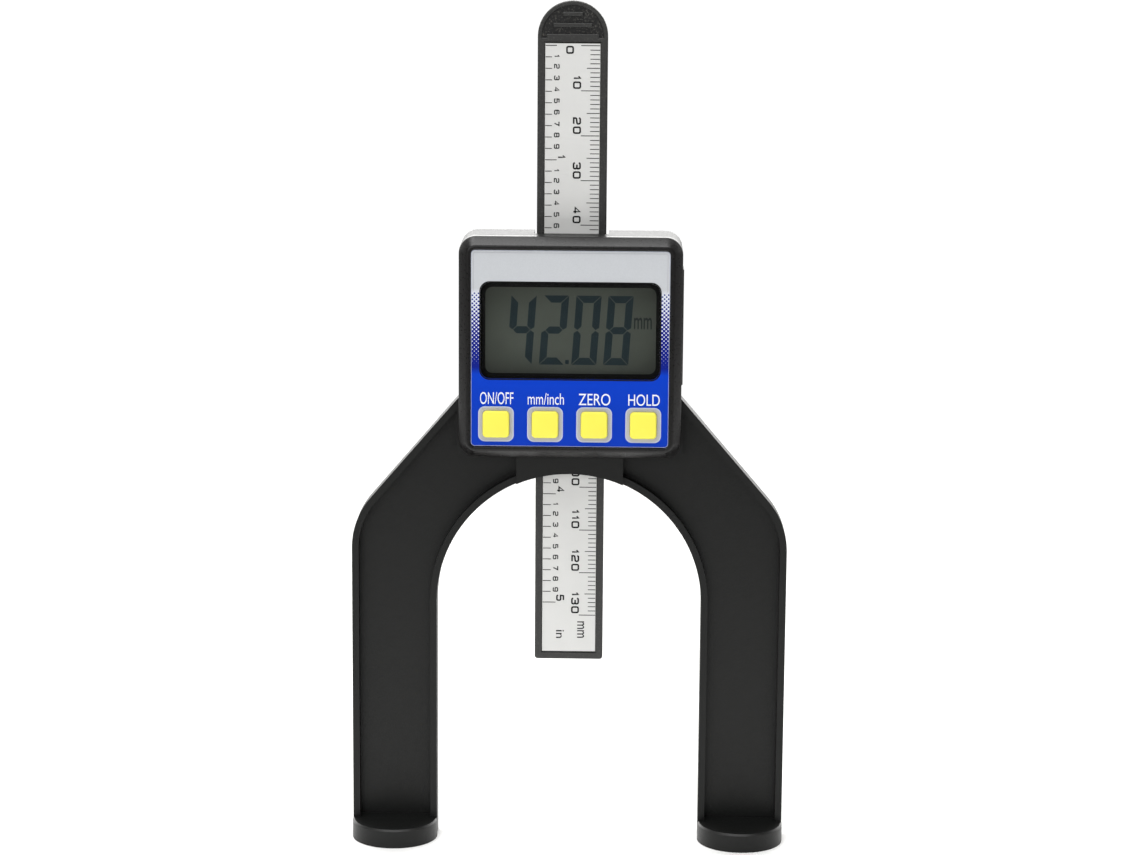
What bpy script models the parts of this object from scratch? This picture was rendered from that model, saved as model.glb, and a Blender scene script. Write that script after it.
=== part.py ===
"""Table saw height gauge: an arched frame on two round feet, a digital head and a sliding scale beam.

+X is to the right, +Y to the back and +Z up, and the soles of the feet are at height zero. Depths are
counted from the line through the middle of both feet. The empty "gauge" carries every piece and sets
them all back so that the object's box is centred in depth.
"""

import math

import bmesh
import bpy
from mathutils import Matrix, Vector

MM = 0.001

# Clearances, cuts and welds
FILM_GAP = 0.05 * MM
SEAT_GAP = 0.1 * MM
RUN_GAP = 0.2 * MM
FIT_GAP = 0.3 * MM
OVERRUN = 2.0 * MM
WELD = 0.001 * MM

# Roundness, counted in sides
ARCH_SIDES = 56
FOOT_SIDES = 48
CORNER_SIDES = 5
FILLET_SIDES = 10
DISC_SIDES = 32
SCREW_SIDES = 16
SHARP_ANGLE = math.radians(35)

# Arched frame
ARCH_RADIUS = 30.2 * MM
ARCH_CENTRE = 56.0 * MM
LEG_WIDTH = 19.4 * MM
LEG_SETBACK = 0.25 * MM
LEG_DEPTH = 5.3 * MM
RIM_WIDTH = 1.55 * MM
POCKET_DEPTH = 3.0 * MM
POCKET_CORNER = 1.0 * MM
SHOULDER_ANGLE = math.radians(49.35)
SHOULDER_FILLET = 18.0 * MM
SHOULDER_RISE = 13.0 * MM
CROWN_HEIGHT = 4.4 * MM
BLOCK_WALL = 3.75 * MM
BLOCK_PROUD = 1.25 * MM

# Feet and their magnets
FOOT_PROUD = 0.1 * MM
FOOT_HEIGHT = 4.3 * MM
FOOT_EDGE = 0.4 * MM
MAGNET_RADIUS = 6.0 * MM
MAGNET_THICKNESS = 3.0 * MM

# Sliding beam
READING = 42.08 * MM
BEAM_WIDTH = 15.6 * MM
BEAM_LENGTH = 150.3 * MM
BEAM_THICKNESS = 3.3 * MM
BEAM_CHAMFER = 0.2 * MM
TIP_CORNER = 0.7 * MM
SIDE_RAIL = 1.6 * MM
FOOT_RAIL = 1.5 * MM
GRIP_LENGTH = 9.1 * MM
SCALE_RECESS = 0.9 * MM
SCALE_SINK = 0.15 * MM
SCALE_FILM = 0.15 * MM
FILM_END_GAP = 0.35 * MM
STRIP_THICKNESS = 0.5 * MM
GRIP_RIM = 0.9 * MM
GRIP_DEPTH = 0.5 * MM
GRIP_DIVIDER = 0.8 * MM
GRIP_RIB = 0.85 * MM
GRIP_RIB_PITCH = 2.45 * MM
GRIP_RIB_SHARES = (0.84, 0.62, 0.32)

# Digital head and its case
HEAD_SIZE = 50.0 * MM
HEAD_CORNER = 3.8 * MM
CASE_WALL = 2.1 * MM
CASE_CORNER = 1.7 * MM
CHANNEL_SIDE = 0.55 * MM
CHANNEL_FRONT = 0.25 * MM
CHANNEL_BACK = 0.35 * MM
CHANNEL_WALL = 1.55 * MM
CORE_DEPTH = 4.8 * MM

# Front cover and its label
COVER_DEPTH = 4.55 * MM
COVER_PLATE = 1.2 * MM
CHAMFER_WIDTH = 1.8 * MM
CHAMFER_DEPTH = 2.3 * MM
LIP_WIDTH = 0.95 * MM
LABEL_THICKNESS = 0.25 * MM
LABEL_SINK = 0.25 * MM
LABEL_CORNER = 0.9 * MM

# Display
WINDOW_SIDE_MARGIN = 2.25 * MM
WINDOW_TOP_MARGIN = 10.1 * MM
WINDOW_BOTTOM_MARGIN = 18.2 * MM
WINDOW_CORNER = 2.0 * MM
LENS_LAP = 1.5 * MM
LENS_THICKNESS = 0.8 * MM
GLASS_THICKNESS = 1.1 * MM
GLASS_LEDGE = 1.9 * MM
GLASS_INSET = 0.2 * MM
HOLDER_WALL = 1.0 * MM
ZEBRA_THICKNESS = 1.3 * MM
ZEBRA_INSET = 2.5 * MM
DISPLAY_STANDOFF = 1.8 * MM

# Keys and the domes under them
KEY_SIZE = 6.0 * MM
KEY_SIDE_MARGIN = 5.75 * MM
KEY_ROW = 7.9 * MM
KEY_PROUD = 1.15 * MM
KEY_CORNER = 0.9 * MM
KEY_CROWN_INSET = 0.3 * MM
KEY_CROWN_DEPTH = 0.5 * MM
KEY_FLANGE = 0.45 * MM
KEY_FLANGE_THICKNESS = 0.8 * MM
KEY_STEM_RADIUS = 1.5 * MM
KEY_TRAVEL = 0.5 * MM
KEY_NAMES = ("key_on_off", "key_units", "key_zero", "key_hold")
DOME_RADIUS = 2.3 * MM
DOME_HEIGHT = 0.3 * MM
DOME_CROWN_RADIUS = 1.4 * MM

# Circuit board
BOARD_THICKNESS = 1.0 * MM
BOARD_MARGIN = 0.6 * MM
BOARD_CORNER_CUT = 5.2 * MM
CHIP_RADIUS = 3.0 * MM
CHIP_HEIGHT = 0.9 * MM
CRYSTAL_RADIUS = 0.7 * MM
CRYSTAL_LENGTH = 5.0 * MM
CRYSTAL_END = 7.4 * MM
CRYSTAL_MARGIN = 3.7 * MM
ELECTRODE_INSET = 2.3 * MM
ELECTRODE_END = 5.3 * MM
ELECTRODE_THICKNESS = 0.1 * MM

# Back plate, guide spring and lock
PLATE_INSET = 2.6 * MM
TONGUE_THICKNESS = 2.8 * MM
EAR_SCREW_SET = 3.65 * MM
EAR_END = 2.4 * MM
EAR_THICKNESS = 1.4 * MM
PLATE_SINK = 0.1 * MM
LOWER_EAR = 11.0 * MM
UPPER_EAR = 5.0 * MM
SPRING_END = 10.0 * MM
SPRING_THICKNESS = 0.15 * MM
SPRING_WIDTH = 2.0 * MM
PAD_RADIUS = 3.0 * MM
PAD_THICKNESS = 1.2 * MM
PAD_REST = 0.25 * MM
PAD_POCKET = 1.7 * MM
STUD_RADIUS = 1.5 * MM
KNOB_RADIUS = 6.0 * MM
KNOB_THICKNESS = 5.0 * MM
KNOB_LIFT = 0.5 * MM
KNOB_FLUTES = 18
FLUTE_SIDES = 4
KNOB_FLUTE_DEPTH = 0.35 * MM
KNOB_EDGE = 0.5 * MM
KNOB_SOCKET = 3.2 * MM

# Battery drawer
CELL_MARGIN = 1.325 * MM
CELL_THICKNESS = 4.2 * MM
CELL_EDGE = 0.4 * MM
TRAY_SIDE = 2.3 * MM
TRAY_DEPTH = 4.6 * MM
TRAY_WALL = 0.65 * MM
DOOR_LAP = 2.4 * MM
DOOR_FRONT_LAP = 1.5 * MM
DOOR_BACK_LAP = 0.6 * MM
DOOR_THICKNESS = 1.2 * MM
DOOR_PROUD = 0.35 * MM
DOOR_EDGE = 0.3 * MM
CONTACT_THICKNESS = 0.2 * MM
CONTACT_WIDTH = 4.0 * MM
CONTACT_END = 1.3 * MM
CONTACT_GAP = 0.3 * MM

# Screws: each has a head, a shank, a slot and the hole that it runs in
SLOT_WIDTH = 0.45 * MM
SLOT_DEPTH = 0.4 * MM
THREAD_GAP = 0.15 * MM
COVER_SCREW_HEAD = 1.6 * MM
COVER_SCREW_CAP = 1.25 * MM
COVER_SCREW_SHANK = 0.7 * MM
COVER_SCREW_SINK = 1.6 * MM
COVER_SCREW_GRIP = 3.4 * MM
COVER_SCREW_INSET = 3.7 * MM
COVER_BOSS_RADIUS = 1.4 * MM
PLATE_SCREW_HEAD = 1.5 * MM
PLATE_SCREW_CAP = 0.8 * MM
PLATE_SCREW_SHANK = 0.7 * MM
PLATE_SCREW_GRIP = 2.3 * MM
LOWER_SCREW_INSET = 5.5 * MM
UPPER_SCREW_INSET = 2.5 * MM
PCB_SCREW_HEAD = 1.4 * MM
PCB_SCREW_CAP = 0.9 * MM
PCB_SCREW_SHANK = 0.6 * MM
PCB_SCREW_GRIP = 2.1 * MM
PCB_SCREW_SIDE_INSET = 6.4 * MM
PCB_SCREW_INSET = 3.2 * MM

# Heights and widths that follow
LEG_OUTER = ARCH_RADIUS + LEG_WIDTH
FOOT_PLACE = ARCH_RADIUS + LEG_WIDTH / 2
FOOT_RADIUS = LEG_WIDTH / 2 + FOOT_PROUD
HEAD_BOTTOM = ARCH_CENTRE + ARCH_RADIUS + CROWN_HEIGHT
HEAD_TOP = HEAD_BOTTOM + HEAD_SIZE
HEAD_MIDDLE = HEAD_BOTTOM + HEAD_SIZE / 2
HEAD_HALF = HEAD_SIZE / 2
CAVITY_HALF = HEAD_HALF - CASE_WALL
LABEL_HALF = HEAD_HALF - CHAMFER_WIDTH - LIP_WIDTH
BEAM_HALF = BEAM_WIDTH / 2
BEAM_TOP = READING + BEAM_LENGTH
CHANNEL_HALF = BEAM_HALF + CHANNEL_SIDE
BLOCK_HALF = CHANNEL_HALF + BLOCK_WALL
SCALE_BOTTOM = READING + FOOT_RAIL
SCALE_TOP = BEAM_TOP - GRIP_LENGTH
WINDOW_WIDTH = 2 * (LABEL_HALF - WINDOW_SIDE_MARGIN)
WINDOW_HEIGHT = HEAD_SIZE - WINDOW_TOP_MARGIN - WINDOW_BOTTOM_MARGIN
WINDOW_MIDDLE = HEAD_BOTTOM + WINDOW_BOTTOM_MARGIN + WINDOW_HEIGHT / 2
LENS_X = WINDOW_WIDTH / 2 + LENS_LAP
LENS_Z = WINDOW_HEIGHT / 2 + LENS_LAP
KEYS_MIDDLE = HEAD_BOTTOM + KEY_ROW
KEY_PITCH = 2 * (LABEL_HALF - KEY_SIDE_MARGIN) / (len(KEY_NAMES) - 1)
PLATE_BOTTOM = HEAD_BOTTOM + PLATE_INSET
PLATE_TOP = HEAD_TOP - PLATE_INSET
PLATE_SCREW_SIDE = CHANNEL_HALF + EAR_SCREW_SET
EAR_HALF = PLATE_SCREW_SIDE + EAR_END
DOOR_OUTSIDE = HEAD_HALF + DOOR_PROUD
DOOR_INSIDE = DOOR_OUTSIDE - DOOR_THICKNESS
DOOR_HEIGHT = WINDOW_HEIGHT + 2 * DOOR_LAP
BAY_START = CHANNEL_HALF + CHANNEL_WALL
CELL_X = (BAY_START + DOOR_INSIDE) / 2
CELL_RADIUS = CELL_X - BAY_START - CELL_MARGIN
TRAY_START = CELL_X - CELL_RADIUS - RUN_GAP - TRAY_WALL
TRAY_HALF = CELL_RADIUS + RUN_GAP + TRAY_SIDE

# Depths that follow, from the beam forwards and then backwards
LEG_FRONT = LEG_SETBACK
LEG_BACK = LEG_FRONT + LEG_DEPTH
BEAM_BACK = LEG_BACK
BEAM_FRONT = BEAM_BACK - BEAM_THICKNESS
CHANNEL_FLOOR = BEAM_FRONT - CHANNEL_FRONT
BOARD_BACK = CHANNEL_FLOOR - SEAT_GAP
BOARD_FRONT = BOARD_BACK - BOARD_THICKNESS
CASE_FLOOR = BOARD_BACK + FIT_GAP
GLASS_BACK = BOARD_FRONT - DISPLAY_STANDOFF
GLASS_MIDDLE = GLASS_BACK - GLASS_THICKNESS
GLASS_FRONT = GLASS_MIDDLE - GLASS_THICKNESS
LENS_BACK = GLASS_FRONT - FIT_GAP
LENS_FRONT = LENS_BACK - LENS_THICKNESS
PLATE_INSIDE = LENS_FRONT - FILM_GAP
LABEL_BED = PLATE_INSIDE - COVER_PLATE
LABEL_BACK = LABEL_BED - FILM_GAP
LABEL_FRONT = LABEL_BACK - LABEL_THICKNESS
COVER_FRONT = LABEL_FRONT - LABEL_SINK
COVER_BACK = COVER_FRONT + COVER_DEPTH
CASE_FRONT = COVER_BACK + SEAT_GAP
TONGUE_FRONT = BEAM_BACK + CHANNEL_BACK
PLATE_BACK = TONGUE_FRONT + TONGUE_THICKNESS
CASE_BACK = PLATE_BACK + PLATE_SINK
EAR_FRONT = PLATE_BACK - EAR_THICKNESS
PAD_FRONT = BEAM_BACK + PAD_REST
PAD_BACK = PAD_FRONT + PAD_THICKNESS
KNOB_FRONT = PLATE_BACK + KNOB_LIFT
KNOB_BACK = KNOB_FRONT + KNOB_THICKNESS
CELL_FRONT = CASE_FLOOR + CONTACT_THICKNESS + CONTACT_GAP + RUN_GAP
CELL_BACK = CELL_FRONT + CELL_THICKNESS
CELL_MIDDLE = CELL_FRONT + CELL_THICKNESS / 2
BAY_BACK = CELL_BACK + CONTACT_THICKNESS + 2 * CONTACT_GAP
DOOR_FRONT = CELL_MIDDLE - TRAY_DEPTH / 2 - DOOR_FRONT_LAP
DOOR_BACK = CELL_MIDDLE + TRAY_DEPTH / 2 + DOOR_BACK_LAP
DEPTH_SHIFT = (FOOT_RADIUS - KNOB_BACK) / 2

PARTS = "height_gauge"
CUTTERS = "height_gauge_cutters"
ACROSS, BACKWARD, FORWARD, UP = (1, 0, 0), (0, 1, 0), (0, -1, 0), (0, 0, 1)


def clear_scene():
    """Remove everything that the scene holds."""
    for item in list(bpy.data.objects):
        bpy.data.objects.remove(item, do_unlink=True)


def collection(name):
    """Return the named collection, linked to the scene."""
    found = bpy.data.collections.get(name)
    if found is None:
        found = bpy.data.collections.new(name)
        bpy.context.scene.collection.children.link(found)
    return found


def material(name, colour, roughness, metallic=0.0):
    """Return a Principled material of one colour."""
    made = bpy.data.materials.new(name)
    made.use_nodes = True
    shader = made.node_tree.nodes["Principled BSDF"]
    shader.inputs["Base Color"].default_value = (*colour, 1.0)
    shader.inputs["Roughness"].default_value = roughness
    shader.inputs["Metallic"].default_value = metallic
    made.diffuse_color = (*colour, 1.0)
    return made


def carrier(name, spot, parent=None):
    """Add an empty that carries pieces, at a spot measured from its parent."""
    made = bpy.data.objects.new(name, None)
    made.location = spot
    made.parent = parent
    collection(PARTS).objects.link(made)
    return made


def add_object(name, mesh, home, spot=(0, 0, 0), axis=UP):
    """Put a mesh into a collection as an object at a spot, its own Z turned to an axis."""
    made = bpy.data.objects.new(name, mesh)
    made.location = spot
    if axis != UP:
        made.rotation_euler = Vector(axis).to_track_quat("Z", "Y").to_euler()
    collection(home).objects.link(made)
    if home == CUTTERS:
        made.hide_render = True
        made.display_type = "WIRE"
    return made


def built_mesh(name, build):
    """Make a mesh from what a function does to an empty bmesh."""
    work = bmesh.new()
    build(work)
    mesh = bpy.data.meshes.new(name)
    work.to_mesh(mesh)
    work.free()
    return mesh


def box(name, low, high, home=CUTTERS):
    """Make a box between two corners, its origin at its middle."""
    low, high = Vector(low), Vector(high)
    scale = Matrix.Diagonal((*(high - low), 1))
    mesh = built_mesh(name, lambda work: bmesh.ops.create_cube(work, size=1, matrix=scale))
    return add_object(name, mesh, home, (low + high) / 2)


def rod(name, start, axis, length, radius, sides=SCREW_SIDES, home=CUTTERS, end_radius=None):
    """Make a cylinder or cone whose origin is at its start, running along an axis."""
    lift = Matrix.Translation((0, 0, length / 2))
    end = radius if end_radius is None else end_radius

    def build(work):
        bmesh.ops.create_cone(
            work, cap_ends=True, segments=sides, radius1=radius, radius2=end, depth=length, matrix=lift
        )
    return add_object(name, built_mesh(name, build), home, start, axis)


def turned(name, profile, spot, axis, sides, home=PARTS):
    """Make a solid of revolution from (radius, height) points, from the top down its outer side."""
    mesh = bpy.data.meshes.new(name)
    edges = [(index, index + 1) for index in range(len(profile) - 1)]
    mesh.from_pydata([(radius, 0, height) for radius, height in profile], edges, [])
    made = add_object(name, mesh, home, spot, axis)
    spin = made.modifiers.new("turn", "SCREW")
    spin.steps = sides
    spin.render_steps = sides
    spin.use_merge_vertices = True
    spin.merge_threshold = WELD
    return made


def arc(centre, radius, start, end, sides):
    """Give the points of an arc from one angle to another, both ends included."""
    angles = [start + (end - start) * step / sides for step in range(sides + 1)]
    return [(centre[0] + radius * math.cos(angle), centre[1] + radius * math.sin(angle)) for angle in angles]


def rounded_box(half_width, half_height, radius, middle=(0, 0)):
    """Give the outline of a rectangle with round corners, anticlockwise from the right."""
    points = []
    for quarter, (side, rise) in enumerate(((1, 1), (-1, 1), (-1, -1), (1, -1))):
        centre = (middle[0] + side * (half_width - radius), middle[1] + rise * (half_height - radius))
        points += arc(centre, radius, quarter * math.pi / 2, (quarter + 1) * math.pi / 2, CORNER_SIDES)
    return points


def mirrored(points):
    """Give an outline's mirror image across the middle plane."""
    return [(-x, z) for x, z in reversed(points)]


def plate(name, outlines, front, back, home=CUTTERS):
    """Make a flat solid from upright outlines between two depths; an outline inside another is a hole."""
    curve = bpy.data.curves.new(name, "CURVE")
    curve.dimensions = "2D"
    curve.fill_mode = "BOTH"
    curve.extrude = (back - front) / 2
    curve.render_resolution_u = 0
    for outline in outlines:
        spline = curve.splines.new("POLY")
        spline.points.add(len(outline) - 1)
        for point, (x, z) in zip(spline.points, outline):
            point.co = (x, z, 0, 1)
        spline.use_cyclic_u = True
    guide = add_object(name + "_outline", curve, CUTTERS, (0, (front + back) / 2, 0))
    guide.rotation_euler = (math.pi / 2, 0, 0)
    bpy.context.view_layer.update()
    mesh = bpy.data.meshes.new_from_object(guide.evaluated_get(bpy.context.evaluated_depsgraph_get()))
    work = bmesh.new()
    work.from_mesh(mesh)
    bmesh.ops.remove_doubles(work, verts=work.verts, dist=WELD)
    work.to_mesh(mesh)
    work.free()
    made = add_object(name, mesh, home)
    made.matrix_world = guide.matrix_world
    bpy.data.objects.remove(guide, do_unlink=True)
    return made


def lofted(name, sections, home=PARTS, spot=(0, 0, 0)):
    """Make a solid through (depth, outline) sections of equal point counts, from front to back."""
    def build(work):
        rings = [[work.verts.new((x, depth, z)) for x, z in outline] for depth, outline in sections]
        for front, back in zip(rings, rings[1:]):
            for index in range(len(front)):
                after = (index + 1) % len(front)
                work.faces.new((front[index], front[after], back[after], back[index]))
        work.faces.new(rings[0])
        work.faces.new(rings[-1])
        bmesh.ops.recalc_face_normals(work, faces=work.faces)
    return add_object(name, built_mesh(name, build), home, spot)


def boolean(item, operation, tools):
    """Cut a piece with each tool, or fuse each tool to it."""
    for tool in tools:
        step = item.modifiers.new(operation.lower() + "_" + tool.name, "BOOLEAN")
        step.operation = operation
        step.object = tool


def cut(item, *tools):
    """Take each tool out of a piece."""
    boolean(item, "DIFFERENCE", tools)


def join(item, *tools):
    """Fuse each tool into a piece."""
    boolean(item, "UNION", tools)


def finish(item, skin, parent=None):
    """Give a piece its material and its carrier, and shade its round faces smooth."""
    item.data.materials.clear()
    item.data.materials.append(skin)
    item.data.shade_smooth()
    item.data.set_sharp_from_angle(angle=SHARP_ANGLE)
    if parent is not None:
        item.location -= Vector(parent.location)
        item.parent = parent
    return item


def slope_height(side, inset=0):
    """Height of the shoulder's slope at a distance from the middle, with the slope moved in by an inset."""
    fall = (side - HEAD_HALF) * math.tan(SHOULDER_ANGLE)
    return HEAD_BOTTOM + SHOULDER_RISE - fall - inset / math.cos(SHOULDER_ANGLE)


def shoulder_arc(inset=0):
    """Round corner of the right shoulder, from the leg's upright edge to the slope."""
    side = LEG_OUTER - inset
    radius = SHOULDER_FILLET - inset
    turn = math.pi / 2 - SHOULDER_ANGLE
    centre = (side - radius, slope_height(side, inset) - radius * math.tan(turn / 2))
    return arc(centre, radius, 0, turn, FILLET_SIDES)


def frame_outline():
    """Outline of the frame before its arch is opened: soles, outer edges and shoulders."""
    inside = HEAD_HALF - CASE_WALL / 2
    right = [(LEG_OUTER, 0)] + shoulder_arc() + [(inside, slope_height(inside))]
    return right + mirrored(right)


def arch_outline():
    """Outline of the opening under the arch, run past the soles."""
    curve = arc((0, ARCH_CENTRE), ARCH_RADIUS, 0, math.pi, ARCH_SIDES)
    return curve + [(-ARCH_RADIUS, -OVERRUN), (ARCH_RADIUS, -OVERRUN)]


def pocket_outline():
    """Outline of the right-hand recess between the rims, from the foot up to the middle block."""
    inner = ARCH_RADIUS + RIM_WIDTH
    outer = LEG_OUTER - RIM_WIDTH
    low = FOOT_HEIGHT - FOOT_EDGE
    side = HEAD_HALF + POCKET_CORNER / 2
    under = HEAD_BOTTOM - POCKET_CORNER / 2
    rise = arc((0, ARCH_CENTRE), inner, math.acos(BLOCK_HALF / inner), 0, ARCH_SIDES // 2)
    top = [(side, slope_height(side, RIM_WIDTH)), (side, under), (BLOCK_HALF, under)]
    return rise + [(inner, low), (outer, low)] + shoulder_arc(RIM_WIDTH) + top


def cover_screw_places():
    """Where the four screws of the front cover stand."""
    reach = HEAD_HALF - COVER_SCREW_INSET
    return [(x * reach, HEAD_MIDDLE + z * reach) for x in (-1, 1) for z in (-1, 1)]


def plate_screw_places():
    """Where the four screws of the back plate stand."""
    heights = (PLATE_BOTTOM + LOWER_SCREW_INSET, PLATE_TOP - UPPER_SCREW_INSET)
    return [(x * PLATE_SCREW_SIDE, z) for x in (-1, 1) for z in heights]


def pcb_screw_places():
    """Where the two screws of the circuit board stand."""
    side = CAVITY_HALF - PCB_SCREW_SIDE_INSET
    return [(x * side, HEAD_MIDDLE + CAVITY_HALF - PCB_SCREW_INSET) for x in (-1, 1)]


def key_places():
    """Where the keys stand along their row."""
    middle = (len(KEY_NAMES) - 1) / 2
    return [(index - middle) * KEY_PITCH for index in range(len(KEY_NAMES))]


def holes(name, places, start, axis, length, radius):
    """Give one round cutter for each place."""
    return [
        rod(f"{name}_{index + 1}", (x, start, z), axis, length, radius) for index, (x, z) in enumerate(places)
    ]


def make_frame(skin, gauge):
    """Arch, legs, feet and the back case of the head, which are one moulding."""
    frame = plate("arch_frame", [frame_outline()], LEG_FRONT, LEG_BACK, PARTS)
    pocket = pocket_outline()
    cut(frame, plate("leg_recess", [pocket, mirrored(pocket)], LEG_FRONT - OVERRUN, LEG_FRONT + POCKET_DEPTH))

    head = rounded_box(HEAD_HALF, HEAD_HALF, HEAD_CORNER, (0, HEAD_MIDDLE))
    join(
        frame, plate("case_block", [head], CASE_FRONT, CASE_BACK),
        box("middle_block", (-BLOCK_HALF, LEG_FRONT - BLOCK_PROUD, ARCH_CENTRE),
            (BLOCK_HALF, CASE_FLOOR, HEAD_BOTTOM + CASE_WALL / 2)),
    )
    cut(frame, plate("arch_opening", [arch_outline()], LEG_FRONT - FOOT_RADIUS, LEG_BACK + FOOT_RADIUS))
    foot = [
        (0, FOOT_HEIGHT), (FOOT_RADIUS - FOOT_EDGE, FOOT_HEIGHT), (FOOT_RADIUS, FOOT_HEIGHT - FOOT_EDGE),
        (FOOT_RADIUS, 0), (0, 0),
    ]
    bed = MAGNET_THICKNESS + RUN_GAP + FIT_GAP
    for word, side in (("left", -1), ("right", 1)):
        disc = turned("foot_" + word, foot, (side * FOOT_PLACE, 0, 0), UP, FOOT_SIDES, CUTTERS)
        disc.rotation_euler.z = math.pi / FOOT_SIDES / 2
        join(frame, disc)
        cut(frame, rod("magnet_bed_" + word, (side * FOOT_PLACE, 0, -OVERRUN), UP, OVERRUN + bed,
                       MAGNET_RADIUS + RUN_GAP, DISC_SIDES))

    cavity = rounded_box(CAVITY_HALF, CAVITY_HALF, CASE_CORNER, (0, HEAD_MIDDLE))
    bay = TRAY_HALF + FIT_GAP
    doorway = DOOR_HEIGHT / 2 + RUN_GAP
    ear = EAR_HALF + FIT_GAP
    cut(
        frame,
        plate("case_cavity", [cavity], CASE_FRONT - OVERRUN, CASE_FLOOR),
        box("beam_channel", (-CHANNEL_HALF, CHANNEL_FLOOR, ARCH_CENTRE),
            (CHANNEL_HALF, CASE_BACK + OVERRUN, HEAD_TOP + OVERRUN)),
        box("battery_bay", (BAY_START, CASE_FLOOR - OVERRUN, WINDOW_MIDDLE - bay),
            (CAVITY_HALF, BAY_BACK, WINDOW_MIDDLE + bay)),
        box("bay_mouth", (BAY_START + OVERRUN, CASE_FLOOR, WINDOW_MIDDLE - bay),
            (HEAD_HALF + OVERRUN, BAY_BACK, WINDOW_MIDDLE + bay)),
        box("door_recess",
            (DOOR_INSIDE - SEAT_GAP, DOOR_FRONT - RUN_GAP, WINDOW_MIDDLE - doorway),
            (HEAD_HALF + OVERRUN, DOOR_BACK + RUN_GAP, WINDOW_MIDDLE + doorway)),
        box("left_core", (-CAVITY_HALF, CASE_FLOOR - OVERRUN, WINDOW_MIDDLE - bay),
            (-BAY_START, CASE_FLOOR + CORE_DEPTH, WINDOW_MIDDLE + bay)),
        box("lower_ear_bed", (-ear, EAR_FRONT - SEAT_GAP, PLATE_BOTTOM - FIT_GAP),
            (ear, CASE_BACK + OVERRUN, PLATE_BOTTOM + LOWER_EAR + FIT_GAP)),
        box("upper_ear_bed", (-ear, EAR_FRONT - SEAT_GAP, PLATE_TOP - UPPER_EAR - FIT_GAP),
            (ear, CASE_BACK + OVERRUN, PLATE_TOP + FIT_GAP)),
    )
    sunk = COVER_SCREW_SINK + FIT_GAP
    cut(
        frame,
        *holes("cover_screw_hole", cover_screw_places(), CASE_FLOOR - OVERRUN, BACKWARD,
               CASE_BACK - CASE_FLOOR + 2 * OVERRUN, COVER_SCREW_SHANK + FIT_GAP),
        *holes("cover_screw_bed", cover_screw_places(), CASE_BACK + OVERRUN, FORWARD,
               sunk + OVERRUN, COVER_SCREW_HEAD + RUN_GAP),
        *holes("plate_screw_pilot", plate_screw_places(), EAR_FRONT + OVERRUN, FORWARD,
               OVERRUN + PLATE_SCREW_GRIP + FIT_GAP, PLATE_SCREW_SHANK + THREAD_GAP),
        *holes("pcb_screw_pilot", pcb_screw_places(), CASE_FLOOR - OVERRUN, BACKWARD,
               OVERRUN + PCB_SCREW_GRIP + FIT_GAP, PCB_SCREW_SHANK + THREAD_GAP),
    )
    finish(frame, skin, gauge)


def make_magnets(steel, gauge):
    """Round magnets sunk into the soles."""
    for word, side in (("left", -1), ("right", 1)):
        magnet = rod(
            "foot_magnet_" + word, (side * FOOT_PLACE, 0, RUN_GAP), UP, MAGNET_THICKNESS, MAGNET_RADIUS,
            DISC_SIDES, PARTS,
        )
        finish(magnet, steel, gauge)


def make_cover(skin, gauge):
    """Front cover: a chamfered square shell with a label bed, a window, key holes and screw bosses."""
    middle = (0, HEAD_MIDDLE)
    outer = rounded_box(HEAD_HALF, HEAD_HALF, HEAD_CORNER, middle)
    lip = HEAD_HALF - CHAMFER_WIDTH
    face = rounded_box(lip, lip, HEAD_CORNER - CHAMFER_WIDTH, middle)
    cover = lofted("front_cover", [
        (COVER_FRONT, face), (COVER_FRONT + CHAMFER_DEPTH, outer), (COVER_BACK, outer),
    ])
    inside = rounded_box(CAVITY_HALF, CAVITY_HALF, CASE_CORNER, middle)
    bed = rounded_box(LABEL_HALF, LABEL_HALF, LABEL_CORNER, middle)
    hole = KEY_SIZE / 2 + RUN_GAP
    keyholes = [rounded_box(hole, hole, KEY_CORNER + RUN_GAP, (x, KEYS_MIDDLE)) for x in key_places()]
    window = rounded_box(
        WINDOW_WIDTH / 2 + SEAT_GAP, WINDOW_HEIGHT / 2 + SEAT_GAP, WINDOW_CORNER, (0, WINDOW_MIDDLE)
    )
    cut(
        cover, plate("cover_cavity", [inside], PLATE_INSIDE, COVER_BACK + OVERRUN),
        plate("label_bed", [bed], COVER_FRONT - OVERRUN, LABEL_BED),
    )
    root = PLATE_INSIDE - COVER_PLATE / 2
    boss_end = CASE_FLOOR - FIT_GAP
    join(cover, *holes("cover_boss", cover_screw_places(), root, BACKWARD, boss_end - root,
                       COVER_BOSS_RADIUS))
    pilot = COVER_SCREW_GRIP + FIT_GAP
    cut(
        cover,
        *holes("cover_pilot", cover_screw_places(), boss_end - pilot, BACKWARD, pilot + OVERRUN,
               COVER_SCREW_SHANK + THREAD_GAP),
        plate("cover_openings", [window] + keyholes, COVER_FRONT - OVERRUN, PLATE_INSIDE + OVERRUN),
    )
    finish(cover, skin, gauge)


def make_label(film, gauge):
    """Printed face label, with holes for the window and the keys."""
    side = LABEL_HALF - SEAT_GAP
    hole = KEY_SIZE / 2 + FIT_GAP
    keyholes = [rounded_box(hole, hole, KEY_CORNER + FIT_GAP, (x, KEYS_MIDDLE)) for x in key_places()]
    outline = rounded_box(side, side, LABEL_CORNER, (0, HEAD_MIDDLE))
    window = rounded_box(WINDOW_WIDTH / 2, WINDOW_HEIGHT / 2, WINDOW_CORNER, (0, WINDOW_MIDDLE))
    finish(plate("face_label", [outline, window] + keyholes, LABEL_FRONT, LABEL_BACK, PARTS), film, gauge)


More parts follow.
